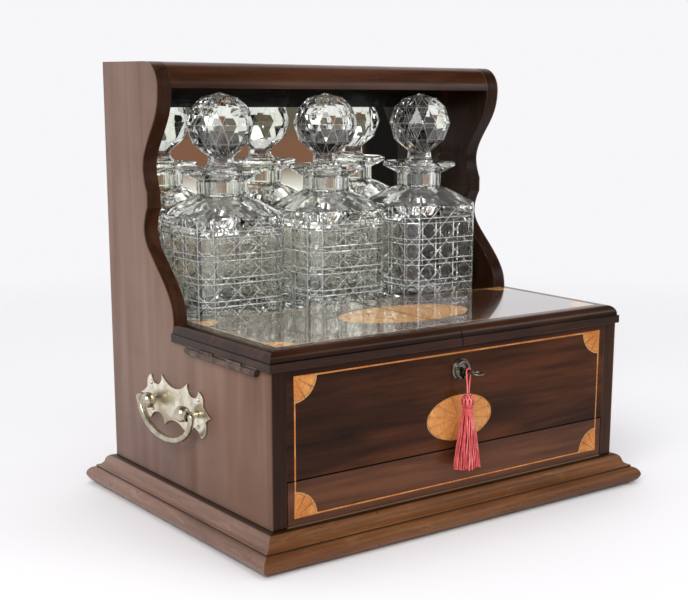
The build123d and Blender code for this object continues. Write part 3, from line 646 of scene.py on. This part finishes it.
# ---- cut glass ----
ACROSS = 3  # cells across each wide face
HALF_CELL = 16  # grid steps from a cell's middle to its side
HALF_CANT = 12  # the same on the canted corners, one cell wide
PAIR, CANT_PAIR = 4, 1  # grid steps from a cell's side to its line, so that lines run in pairs
ROW_H = 0.018
ROW_FOOT = 0.008  # lower edge of a row of cells over the foot
PLAIN_TOP = 0.0012  # left uncut under the shoulder
RISE = ROW_H / (2 * HALF_CELL)
LINE_CUT, HOLLOW_CUT = 0.55 * MM, 0.30 * MM  # depths
FAR_SHARE = 0.3  # of those depths, on the faces turned away from the photo
LEAN_SHARE, LEAN_LIT = 0.7, 0.12  # how far a wall's lean sideways counts, and what is enough for the painted highlight
DOME_RINGS = 12
PITS, WAVES = 0.00009, 0.00012  # unevenness of the shoulder, from point to point and ring to ring
CLEAR, LIT_WALL, DOME = 0, 1, 2  # the three glasses, in the order of the materials; the second is the painted highlight of lit walls and arrises
ARRIS = 0.00009  # width of the bevelled edges of the stoppers' facets, given the whiter glass as painted highlights
STEM_FLAT = 0.975  # radius at the middle of a stem's facets, as a share of that at their edges
STOPPER_TURNS = {"left": 12.0, "centre": -8.0, "right": 6.0}  # degrees


def cut(across, up, half):
    """Depth of the cutting at a grid point, counted in steps from the middle of its cell:
    doubled lines between the cells, lines that cross over them, and in each cell an
    eight-sided button with a shallow hollow."""
    side_line = half - (PAIR if half == HALF_CELL else CANT_PAIR)
    row_line = HALF_CELL - PAIR
    across, up = abs(across), abs(up)
    if across == side_line or up == row_line or across + up == HALF_CELL:
        return LINE_CUT
    if across < side_line and up < row_line and across + up < HALF_CELL:
        reach = max(across / side_line, up / row_line, (across + up) / HALF_CELL)
        return HOLLOW_CUT * (1 - reach * reach)
    return 0.0


def canted_ring(width, cant, z):
    """Points round a square with canted corners, with the outward direction, the steps
    from the middle of the cell, and the cell's half width, for each."""
    half = width / 2
    flat = half - cant
    points = []
    for side in range(4):
        turn = Matrix.Rotation(side * math.pi / 2, 2)
        out = turn @ Vector((1, 0))
        steps = 2 * HALF_CELL * ACROSS
        for k in range(steps):
            place = turn @ Vector((half, -flat + 2 * flat * k / steps))
            points.append((place, out, k % (2 * HALF_CELL) - HALF_CELL, HALF_CELL))
        corner, after = turn @ Vector((half, flat)), turn @ Vector((flat, half))
        out = (corner + after).normalized()
        for k in range(2 * HALF_CANT):
            place = corner.lerp(after, k / (2 * HALF_CANT))
            points.append((place, out, k - HALF_CANT, HALF_CANT))
    return [(Vector((p.x, p.y, z)), Vector((o.x, o.y, 0)), k, h) for p, o, k, h in points]


class Skin(Mesh):
    """One closed skin of rings that all have the same number of points."""

    def ring(self, points):
        self.count = len(points)
        self.vertices += points

    def canted(self, width, cant, z):
        self.ring([point[0] for point in canted_ring(width, cant, z)])

    def round(self, radius, z, facets):
        """A ring in the body's directions, with flat facets, or round where facets is 0."""
        points = []
        for place, _, _, _ in canted_ring(BODY_W, BODY_CANT, z):
            a = math.atan2(place.y, place.x)
            r = radius
            if facets:
                step = 2 * math.pi / facets
                r *= math.cos(step / 2) / math.cos((a + math.pi) % step - step / 2)
            points.append(Vector((r * math.cos(a), r * math.sin(a), z)))
        self.ring(points)

    def close(self):
        rings = len(self.vertices) // self.count
        self.faces += rings_to_faces(self.count, rings)
        for start, below in ((0, True), ((rings - 1) * self.count, False)):
            middle = len(self.vertices)
            self.vertices.append(Vector((0, 0, self.vertices[start].z)))
            for k in range(self.count):
                a, b = start + k, start + (k + 1) % self.count
                self.faces.append((middle, b, a) if below else (middle, a, b))


def cut_walls(skin):
    """Adds the cut rings of the body. Gives, ring by ring, where each point is in its cell,
    and the numbers of the points on lines of the full depth."""
    grid, lines = [], set()
    for row in range(1, int((BODY_H - PLAIN_TOP) / RISE)):
        z = row * RISE
        up = round((z - ROW_FOOT) / RISE) % (2 * HALF_CELL) - HALF_CELL
        outline = canted_ring(BODY_W, BODY_CANT, z)
        ring = []
        for place, out, across, half in outline:
            depth = cut(across, up, half) * (FAR_SHARE if out.x + out.y > 0.5 else 1.0)
            if depth == LINE_CUT:
                lines.add(len(skin.vertices) + len(ring))
            ring.append(place - out * depth)
        skin.ring(ring)
        grid.append([(across, up) for _, _, across, _ in outline])
    return grid, lines


def dome(skin):
    """Adds the shoulder, from the last ring to the round neck, a little uneven."""
    rim = skin.vertices[-skin.count :]
    for i in range(1, DOME_RINGS + 1):
        share = i / DOME_RINGS
        ring = []
        for place in rim:
            level = Vector((place.x, place.y, 0))
            point = level.lerp(level.normalized() * (NECK_R + 0.0006), share)
            bulge = 4 * SHOULDER_RISE * share * (1 - share)
            pits = PITS * math.sin(12.9 * len(ring) + 7.7 * i)
            waves = WAVES * math.sin(2.1 * i)
            uneven = (pits + waves) * (i < DOME_RINGS)
            point.z = BODY_H + (SHOULDER_H - BODY_H) * share + bulge + uneven
            ring.append(point)
        skin.ring(ring)


def catches_light(a, b, c):
    """Whether a cut wall faces up or, seen from outside, to the right. The lines' walls that do
    are given the whiter glass, as a painted highlight.
    """
    normal = (b - a).cross(c - a).normalized()
    out = Vector((a.x + b.x + c.x, a.y + b.y + c.y, 0)).normalized()
    return normal.z + normal.dot(Vector((-out.y, out.x, 0))) * LEAN_SHARE > LEAN_LIT


def decanter_mesh():
    """A decanter in one closed skin, and for each face which glass it has."""
    skin = Skin()
    skin.canted(BODY_W - 0.030, BODY_CANT - 0.004, 0.0012)
    skin.canted(BODY_W - 0.0016, BODY_CANT, 0.0)
    first_cut = len(skin.vertices)
    grid, lines = cut_walls(skin)
    skin.canted(BODY_W, BODY_CANT, BODY_H - 0.0008)
    first_dome = len(skin.vertices)
    skin.canted(BODY_W - 0.0008, BODY_CANT, BODY_H)
    dome(skin)
    dome_starts = range(first_dome, len(skin.vertices) - skin.count)
    for radius, z, facets in (
        (NECK_R + 0.0004, SHOULDER_H + 0.0006, NECK_FACETS),
        (NECK_R, SHOULDER_H + 0.0016, NECK_FACETS),
        (NECK_R, NECK_H - 0.0008, NECK_FACETS),
        (NECK_R + 0.0010, NECK_H + 0.0002, 2 * NECK_FACETS),
        (LIP_R - 0.0012, RIM_H - 0.0001, 2 * NECK_FACETS),
        (LIP_R - 0.0003, RIM_H + 0.0007, 0),
        (LIP_R, (RIM_H + MOUTH_H) / 2, 0),
        (LIP_R - 0.0003, MOUTH_H - 0.0007, 0),
        (LIP_R - 0.0012, MOUTH_H, 0),
        (LIP_R - 0.0080, MOUTH_H - 0.0004, 0),
        (BORE_R + 0.0012, MOUTH_H - 0.0003, 0),
        (BORE_R, MOUTH_H - 0.0012, 0),
        (BORE_R, BODY_H + 0.0050, 0),
        (BORE_R + 0.0025, BODY_H + 0.0015, 0),
        (BORE_R + 0.0100, BODY_H - 0.0025, 0),
    ):
        skin.round(radius, z, facets)
    inner = BODY_W - 2 * GLASS_T
    cant = BODY_CANT - GLASS_T * (2 - math.sqrt(2))
    for width, z in (
        (inner - 0.016, BODY_H - GLASS_T),
        (inner - 0.004, BODY_H - GLASS_T - 0.0030),
        (inner, BODY_H - GLASS_T - 0.0080),
        (inner, GLASS_BASE + 0.0040),
        (inner - 0.0024, GLASS_BASE + 0.0012),
        (inner - 0.0080, GLASS_BASE),
    ):
        skin.canted(width, cant, z)
    skin.close()

    # the cut rows are split so that each edge runs with the lines that cross the cells
    faces, kinds = [], []
    for face in skin.faces:
        row, k = divmod(face[0] - first_cut, skin.count)
        if len(face) == 4 and 0 <= row < len(grid) - 1:
            across, up = grid[row][k]
            a, b, c, d = face
            if (across + 0.5) * (up + 0.5) > 0:
                split = [(a, b, d), (b, c, d)]
            else:
                split = [(a, b, c), (a, c, d)]
            for corners in split:
                on_line = sum(corner in lines for corner in corners) > 1
                lit = on_line and catches_light(*(skin.vertices[corner] for corner in corners))
                faces.append(corners)
                kinds.append(LIT_WALL if lit else CLEAR)
        else:
            faces.append(face)
            kinds.append(DOME if face[0] in dome_starts and len(face) == 4 else CLEAR)
    return skin.vertices, faces, kinds


def stopper_mesh():
    """A ground plug, a short stem and a ball cut in triangles, as one closed skin."""
    count = BALL_FACETS
    vertices, faces = [], []
    profile = (  # radius, height, and whether it is faceted
        (0.0100, MOUTH_H - PLUG_L, False),
        (0.0112, MOUTH_H - PLUG_L + 0.0012, False),
        (BORE_R - 0.00025, MOUTH_H - 0.0002, False),
        (BORE_R + 0.0009, MOUTH_H + 0.0004, False),
        (BORE_R + 0.0009, MOUTH_H + 0.0012, False),
        (STEM_R + 0.0002, MOUTH_H + 0.0030, True),
        (STEM_R - 0.0003, BALL_Z + BALL_RINGS[0][1] - 0.0012, True),
    )
    sides = count * 2
    for radius, z, faceted in profile:
        for k, a in enumerate(circle(sides)):
            r = radius * (STEM_FLAT if faceted and k % 2 else 1.0)
            vertices.append(Vector((r * math.cos(a), r * math.sin(a), z)))
    faces += rings_to_faces(sides, len(profile))
    faces.append(tuple(reversed(range(sides))))
    first = len(vertices)
    for i, (radius, height) in enumerate(BALL_RINGS):
        for k in range(count):
            a = (2 * k + i % 2) * math.pi / count
            vertices.append(Vector((radius * math.cos(a), radius * math.sin(a), BALL_Z + height)))
    vertices.append(Vector((0, 0, BALL_Z + BALL_POINT)))
    low = (len(profile) - 1) * sides
    top = first + (len(BALL_RINGS) - 1) * count
    for k in range(count):
        after = (k + 1) % count
        faces.append((low + 2 * k, low + 2 * k + 1, first + k))
        faces.append((low + 2 * k + 1, low + (2 * k + 2) % sides, first + after))
        faces.append((low + 2 * k + 1, first + after, first + k))
        faces.append((top + k, top + after, len(vertices) - 1))
        for i in range(len(BALL_RINGS) - 1):
            a, b = first + i * count, first + (i + 1) * count
            if i % 2:
                faces += [(a + k, a + after, b + after), (a + k, b + after, b + k)]
            else:
                faces += [(a + k, a + after, b + k), (a + after, b + after, b + k)]
    return vertices, faces, [CLEAR] * len(faces)


def highlight_arrises(mesh):
    """Bevels the edges of a stopper's ball, in the whiter glass, as painted highlights along
    them.
    """
    solid = bmesh.new()
    solid.from_mesh(mesh)
    low = BALL_Z + BALL_RINGS[0][1] - 0.0001
    ball = [edge for edge in solid.edges if min(v.co.z for v in edge.verts) > low]
    bmesh.ops.bevel(solid, geom=ball, offset=ARRIS, segments=1, affect="EDGES", material=LIT_WALL)
    solid.to_mesh(mesh)
    solid.free()


def make_glassware(paints):
    """Three decanters and three stoppers that share one mesh each. Each stopper has its own
    small turn."""
    shared = {}
    for kind, build, angle in (("decanter", decanter_mesh, 12), ("stopper", stopper_mesh, 3)):
        vertices, faces, kinds = build()
        mesh = new_mesh(kind + "_cut", vertices, faces)
        mesh.polygons.foreach_set("material_index", kinds)
        if kind == "stopper":
            highlight_arrises(mesh)
        smooth(mesh, angle)
        for paint in paints:
            mesh.materials.append(paint.material)
        shared[kind] = mesh
    for hand, x in DECANTERS.items():
        for kind in ("decanter", "stopper"):
            body = f"{kind}_{hand}"
            obj = bpy.data.objects.new(body + "_glass", shared[kind])
            obj.location = (x, DECANTER_Y, TRAY_Z)
            if kind == "stopper":
                obj.rotation_euler.z = math.radians(STOPPER_TURNS[hand])
            dressed(obj, paints[CLEAR], body, body)


# ---- key ----
SHANK = (  # place along y, radius in mm
    (-0.0980, 1.75),
    (-0.1230, 1.75),
    (-0.1245, 1.20),
    (-0.1325, 1.15),
    (-0.1330, 1.70),
    (-0.1342, 1.80),
    (-0.1348, 1.00),
    (-0.1355, 0.90),
)
BOW_Y, BOW_X_R, BOW_Y_R, BOW_WIRE = -0.1401, 4.6 * MM, 5.2 * MM, 0.62 * MM
BIT_Y, BIT_X, BIT_Z = (-0.10395, -0.10155), -7.5 * MM, 0.9 * MM


def make_key(paint):
    """A slender key whose wire bow lies flat, with its bit inside the lock."""
    key = Mesh()
    key.tube([(0, y, KEY_Z) for y, _ in SHANK], [radius * MM for _, radius in SHANK], 16)
    bow = [(BOW_X_R * math.cos(a), BOW_Y + BOW_Y_R * math.sin(a), KEY_Z) for a in circle(32)]
    key.tube(bow, BOW_WIRE, 8, closed=True)
    start = len(key.vertices)
    for y in BIT_Y:
        for x, z in ((BIT_X, -BIT_Z), (0, -BIT_Z), (0, BIT_Z), (BIT_X, BIT_Z)):
            key.vertices.append(Vector((x, y, KEY_Z + z)))
    key.faces += rings_to_faces(4, 2, start)
    key.faces += [tuple(range(start + 3, start - 1, -1)), tuple(range(start + 4, start + 8))]
    piece("key_wire_bow", key, 35, paint, "key", "key")


# ---- tassel, its smaller sizes in mm ----
THREAD_R = 0.62  # of every thread, and of the cord
HEAD_TOP, HEAD_FOOT = 101.0 * MM, 91.9 * MM
BINDING_TOP = 91.5 * MM
SKIRT_TOP, SKIRT_FOOT = 86.6 * MM, 43.7 * MM
WAIST, HEM = (3.9, 3.8), (11.4, 8.3)  # half widths of the skirt along x and y
THREAD_ROWS = ((1.0, 26), (0.74, 20), (0.45, 14), (0.18, 5))  # share of the width, threads


def make_tassel(paint):
    """A silk tassel on a loop of cord that hangs from the key: the loop, the head with its
    knot and binding, and the skirt of single threads."""
    rng = random.Random(7)
    y = TASSEL_Y
    strand = 0.65 * MM  # from the middle of the cord to each of its two strands
    around = 1.2 * MM + 0.6 * MM + 0.15 * MM  # the key's shank, the cord and some slack
    knot_top = 102.8 * MM
    over = KEY_Z + around
    route = [
        (-strand, y, knot_top),
        (-strand - 0.1 * MM, y, knot_top + 5.0 * MM),
        (-around, y, KEY_Z - 4.0 * MM),
        (-around, y, over),
        (around, y, over),
        (around, y, KEY_Z - 4.0 * MM),
        (strand + 0.1 * MM, y, knot_top + 5.0 * MM),
        (strand, y, knot_top),
    ]
    curve = bpy.data.curves.new("tassel_loop", "CURVE")
    curve.dimensions = "3D"
    spline = curve.splines.new("NURBS")
    spline.points.add(len(route) - 1)
    for point, place in zip(spline.points, route):
        point.co = (*place, 1.0)
    spline.order_u = 3
    spline.use_endpoint_u = True
    spline.resolution_u = 12
    curve.bevel_depth = THREAD_R * MM
    curve.bevel_resolution = 4
    loop = bpy.data.objects.new("tassel_loop", curve)
    dressed(loop, paint, "tassel", "tassel_cord")

    head, skirt = tassel_head(y, knot_top), tassel_skirt(y, rng)
    piece("tassel_head_threads", head, 60, paint, "tassel", "tassel_head")
    piece("tassel_skirt_threads", skirt, 60, paint, "tassel", "tassel_skirt")


def tassel_head(y, knot_top):
    """Threads that cross over a core, with three turns of the knot above them and five of
    the binding below."""
    head = Mesh()
    for k, a in enumerate(circle(20)):
        points, radii = [], []
        for i in range(11):
            t = i / 10
            bulge = 1.6 * MM + 3.2 * MM * math.sin(math.pi * min(1.0, 0.12 + t * 0.82)) ** 0.8
            turn = a + 0.5 * math.sin(math.pi * t) * (1 if k % 2 else -1)
            z = HEAD_TOP + (HEAD_FOOT - HEAD_TOP) * t
            points.append((bulge * math.cos(turn), y + bulge * math.sin(turn), z))
            radii.append(THREAD_R * MM * (0.7 + 0.5 * math.sin(math.pi * t)))
        head.tube(points, radii, 6)
    for i in range(3):
        r = 1.55 * MM
        z = knot_top - 0.9 * MM - i * 0.8 * MM
        ring = [
            (r * math.cos(a), y + r * math.sin(a), z + 0.3 * MM * math.sin(2 * a + i))
            for a in circle(16)
        ]
        head.tube(ring, 0.6 * MM, 6, closed=True)
    for i in range(5):
        r = (3.75 + 0.18 * math.sin(i * 1.9)) * MM
        z = BINDING_TOP - i * 1.08 * MM
        ring = [
            (r * math.cos(a), y + r * math.sin(a), z + 0.25 * MM * math.sin(a + 0.6))
            for a in circle(28)
        ]
        head.tube(ring, THREAD_R * MM, 6, closed=True)
    core = ((0.1, 86.6), (3.5, 86.8), (3.5, 91.5), (4.2, 95.5), (3.2, 99.0), (1.4, 101.5))
    head.revolve([(r * MM, z * MM) for r, z in (*core, (0.1, 102.4))], y, 24)
    return head


def tassel_skirt(y, rng):
    """Rows of hanging threads, each with its own place, sway and length."""
    skirt = Mesh()
    for row, (share, count) in enumerate(THREAD_ROWS):
        for k in range(count):
            a = 2 * math.pi * (k + 0.5 * (row % 2)) / count + rng.uniform(-0.07, 0.07)
            reach = share * rng.uniform(0.92, 1.0)
            wave = rng.uniform(-0.5, 0.5) * MM
            end_z = SKIRT_FOOT + rng.uniform(0.0, 2.2) * MM
            points, radii = [], []
            for i in range(13):
                t = i / 12
                rx, ry = ((w + (h - w) * t**0.8) * reach * MM for w, h in zip(WAIST, HEM))
                sway = wave * math.sin(2.6 * math.pi * t + k)
                place = (
                    rx * math.cos(a) + sway * math.sin(a),
                    y + ry * math.sin(a) - sway * math.cos(a),
                    SKIRT_TOP + (end_z - SKIRT_TOP) * t,
                )
                points.append(place)
                radii.append((THREAD_R + 0.05 * math.sin(i * 2.1 + k)) * MM)
            skirt.tube(points, radii, 6)
    return skirt


# ---- floor, world and lamps ----
FLOOR_Z, FLOOR_RINGS, FLOOR_SIDES = -0.0002, (0.5, 1.0, 1.5), 96
FLOOR_FADE = (0.45, 1.3)  # how far from the middle it starts to fade, and is gone
WORLD_COLOUR = (0.93, 0.92, 0.945, 1)
WORLD_LIGHT, WORLD_SEEN = 0.62, 1.0  # its strength as light, and where it is seen
LAMPS = (  # name, place, size, power
    ("key", (-1.5, -1.0, 1.5), 1.2, 26.0),
    ("fill", (1.2, -1.6, 1.0), 1.2, 7.0),
    ("top", (0.1, 0.2, 1.9), 1.4, 12.0),
)
LAMPS_AIM = (0, 0, 0.15)
ROOM_BANDS = (  # from x, to x, and the colour beyond it
    (0.42, 0.38, (0.93, 0.94, 0.88)),
    (-0.02, -0.06, (0.012, 0.011, 0.011)),
    (-0.42, -0.46, (0.93, 0.94, 0.90)),
    (1.40, 1.46, (0.010, 0.009, 0.009)),
    (2.10, 2.16, (0.93, 0.94, 0.90)),
)


def make_floor():
    """A pale floor that fades into the pale world around it."""
    vertices = [Vector((0, 0, FLOOR_Z))]
    for radius in FLOOR_RINGS:
        for a in circle(FLOOR_SIDES):
            vertices.append(Vector((radius * math.cos(a), radius * math.sin(a), FLOOR_Z)))
    faces = [(0, 1 + k, 1 + (k + 1) % FLOOR_SIDES) for k in range(FLOOR_SIDES)]
    faces += rings_to_faces(FLOOR_SIDES, len(FLOOR_RINGS), 1)
    mesh = new_mesh("floor", vertices, faces)
    paint = Paint("floor")
    paint.set(Base_Color=(0.86, 0.855, 0.865, 1), Roughness=0.7)
    length = paint.node("VectorMath", {0: paint.place()}, operation="LENGTH").outputs["Value"]
    fade = paint.level(length, *FLOOR_FADE)
    clear = paint.node("BsdfTransparent").outputs[0]
    mixed = paint.node("MixShader", {0: fade, 1: paint.shader.outputs[0], 2: clear}).outputs[0]
    paint.tree.links.new(mixed, paint.tree.nodes["Material Output"].inputs["Surface"])
    mesh.materials.append(paint.material)
    floor = linked(bpy.data.objects.new("floor", mesh))


def make_world():
    """A pale world, weaker as light than where the camera, gloss or glass shows it."""
    world = bpy.data.worlds.new("studio")
    bpy.context.scene.world = world
    world.use_nodes = True
    nodes, links = world.node_tree.nodes, world.node_tree.links
    background = nodes["Background"]
    background.inputs["Color"].default_value = WORLD_COLOUR
    rays = nodes.new("ShaderNodeLightPath").outputs
    seen = rays["Is Camera Ray"]
    for kind in ("Is Glossy Ray", "Is Transmission Ray"):
        either = nodes.new("ShaderNodeMath")
        either.operation = "MAXIMUM"
        links.new(seen, either.inputs[0])
        links.new(rays[kind], either.inputs[1])
        seen = either.outputs[0]
    strength = nodes.new("ShaderNodeMapRange")
    strength.inputs["To Min"].default_value = WORLD_LIGHT
    strength.inputs["To Max"].default_value = WORLD_SEEN
    links.new(seen, strength.inputs["Value"])
    links.new(strength.outputs[0], background.inputs["Strength"])


def make_lamps():
    """Soft round lamps: two from the front, and one from above."""
    for name, place, size, power in LAMPS:
        data = bpy.data.lights.new(name, "AREA")
        data.shape = "DISK"
        data.size = size
        data.energy = power
        lamp = linked(bpy.data.objects.new(name, data))
        lamp.location = place
        aim = Vector(place) - Vector(LAMPS_AIM)
        lamp.rotation_euler = aim.to_track_quat("Z", "Y").to_euler()


def make_boards():
    """What only gloss and glass show. In front of the case is a room: a pale table, wood
    behind it and a grey wall, between upright bands of dark and light. Overhead is a black
    flag, which isn't seen through glass."""
    wall = Paint("room_card")
    axes = wall.axes()
    over_table = wall.level(axes["Z"], 0.07, 0.13)
    over_wood = wall.level(axes["Z"], 0.19, 0.24)
    colour = wall.mix(over_wood, (0.235, 0.115, 0.070), (0.135, 0.120, 0.088))
    colour = wall.mix(over_table, (0.93, 0.94, 0.86), colour)
    for start, end, tone in ROOM_BANDS:
        colour = wall.mix(wall.level(axes["X"], start, end), colour, tone)
    under_table = wall.level(axes["Z"], 0.045, 0.015)
    colour = wall.mix(under_table, colour, (0.085, 0.034, 0.026))
    wall.set(Base_Color=(0, 0, 0, 1), Specular_IOR_Level=0.0)
    wall.set(Emission_Color=colour, Emission_Strength=1.0)
    black = Paint("black_flag")
    black.set(Base_Color=(0.02, 0.018, 0.017, 1), Roughness=1.0, Specular_IOR_Level=0.0)
    for paint, corners in (
        (wall, [(-1.3, -1.75, -0.3), (2.6, -1.75, -0.3), (2.6, -1.75, 1.1), (-1.3, -1.75, 1.1)]),
        (black, [(-0.7, -1.9, 1.2), (1.6, -1.9, 1.2), (1.6, 0.5, 1.2), (-0.7, 0.5, 1.2)]),
    ):
        mesh = new_mesh(paint.material.name, corners, [(0, 1, 2, 3)])
        mesh.materials.append(paint.material)
        board = linked(bpy.data.objects.new(paint.material.name, mesh))
        board.visible_camera = board.visible_diffuse = board.visible_shadow = False
        board.visible_transmission = paint is not black


# ---- dressing the carried-over nodes ----
def dress_frame(woods, metals, inlays, mirror):
    by_slot = {
        "secondary_wood": woods["plain"],
        "brass_pale": metals["pale"],
        "brass_dark": metals["bronze"],
        "nickel_dark": metals["nickel"],
        "iron_lock": metals["iron"],
    }
    slots = {part["node"]: part["material_slot"] for part in frame["record"]["subparts"]}
    paints = {name: by_slot[slot] for name, slot in slots.items() if slot in by_slot}
    for paint, names in (
        (woods["side"], ("side_left", "side_right")),
        (woods["front"], ("front_panel", "decanter_tray")),
        (woods["drawer"], ("drawer_front",)),
        (woods["canopy"], ("canopy",)),
        (woods["black"], ("mirror_head_rail",)),
        (mirror, ("mirror_plate",)),
        (woods["plinth_x"], ("plinth_front", "plinth_rear")),
        (woods["plinth_y"], ("plinth_left", "plinth_right")),
        (woods["lid"], ("lid_panel_left", "lid_panel_right")),
        (woods["lid_edge"], ("lid_moulding_left", "lid_moulding_right")),
        (inlays["front"], ("front_inlay", "drawer_inlay")),
        (inlays["lid"], ("lid_inlay_left", "lid_inlay_right")),
        (woods["plain_y"], ("drawer_side_left", "drawer_side_right", "drawer_runners")),
        (metals["bail"], ("bail_left", "bail_right", "handle_posts")),
    ):
        paints.update(dict.fromkeys(names, paint))
    for name, obj in frame["nodes"].items():
        if name in paints:
            for place in obj.material_slots:
                place.material = paints[name].material


make_camera()
woods = build_woods()
metals = {
    "pale": metal("brass_pale", (0.60, 0.54, 0.41), (0.92, 0.87, 0.74), 0.30, hollow_shade=0.9),
    # a darker copy of the brass for the bail, its balls and posts: painted shade standing for the
    # dark surroundings they reflect
    "bail": metal("brass_bail", (0.36, 0.31, 0.23), (0.56, 0.51, 0.40), 0.24, hollow_shade=0.9),
    "bronze": metal("brass_dark", (0.080, 0.054, 0.041), (0.18, 0.130, 0.104), 0.42, hollow_shade=0.5),
    "nickel": metal("nickel_dark", (0.06, 0.052, 0.040), (0.27, 0.25, 0.21), 0.28),
    "iron": metal("iron", (0.12, 0.11, 0.10), (0.45, 0.44, 0.42), 0.30),
}
inlays = {
    "front": inlay(
        "satinwood_front",
        fans=(STRING_X, STRING_FOOT, STRING_TOP),
        oval=(OVAL_Z, OVAL_A, OVAL_B),
        plane="XZ",
        polished=False,
    ),
    "lid": inlay(
        "satinwood_lid",
        fans=(LID_STRING_X, LID_FORE, LID_REAR),
        oval=(LID_OVAL_Y, LID_OVAL_A, LID_OVAL_B),
        plane="XY",
        polished=True,
    ),
}
dress_frame(woods, metals, inlays, mirror_glass())
make_glassware(
    [
        glass("cut_glass"),
        glass("highlight_glass", clear=0.25, rough=0.2),
        glass("shoulder_glass", clear=0.93, rough=0.07),
    ]
)
make_key(metals["nickel"])
make_tassel(silk())
make_floor()
make_world()
make_lamps()
make_boards()
bpy.context.scene.view_settings.view_transform = "Standard"
cycles = bpy.context.scene.cycles
cycles.max_bounces = cycles.transmission_bounces = 24
cycles.glossy_bounces = 8
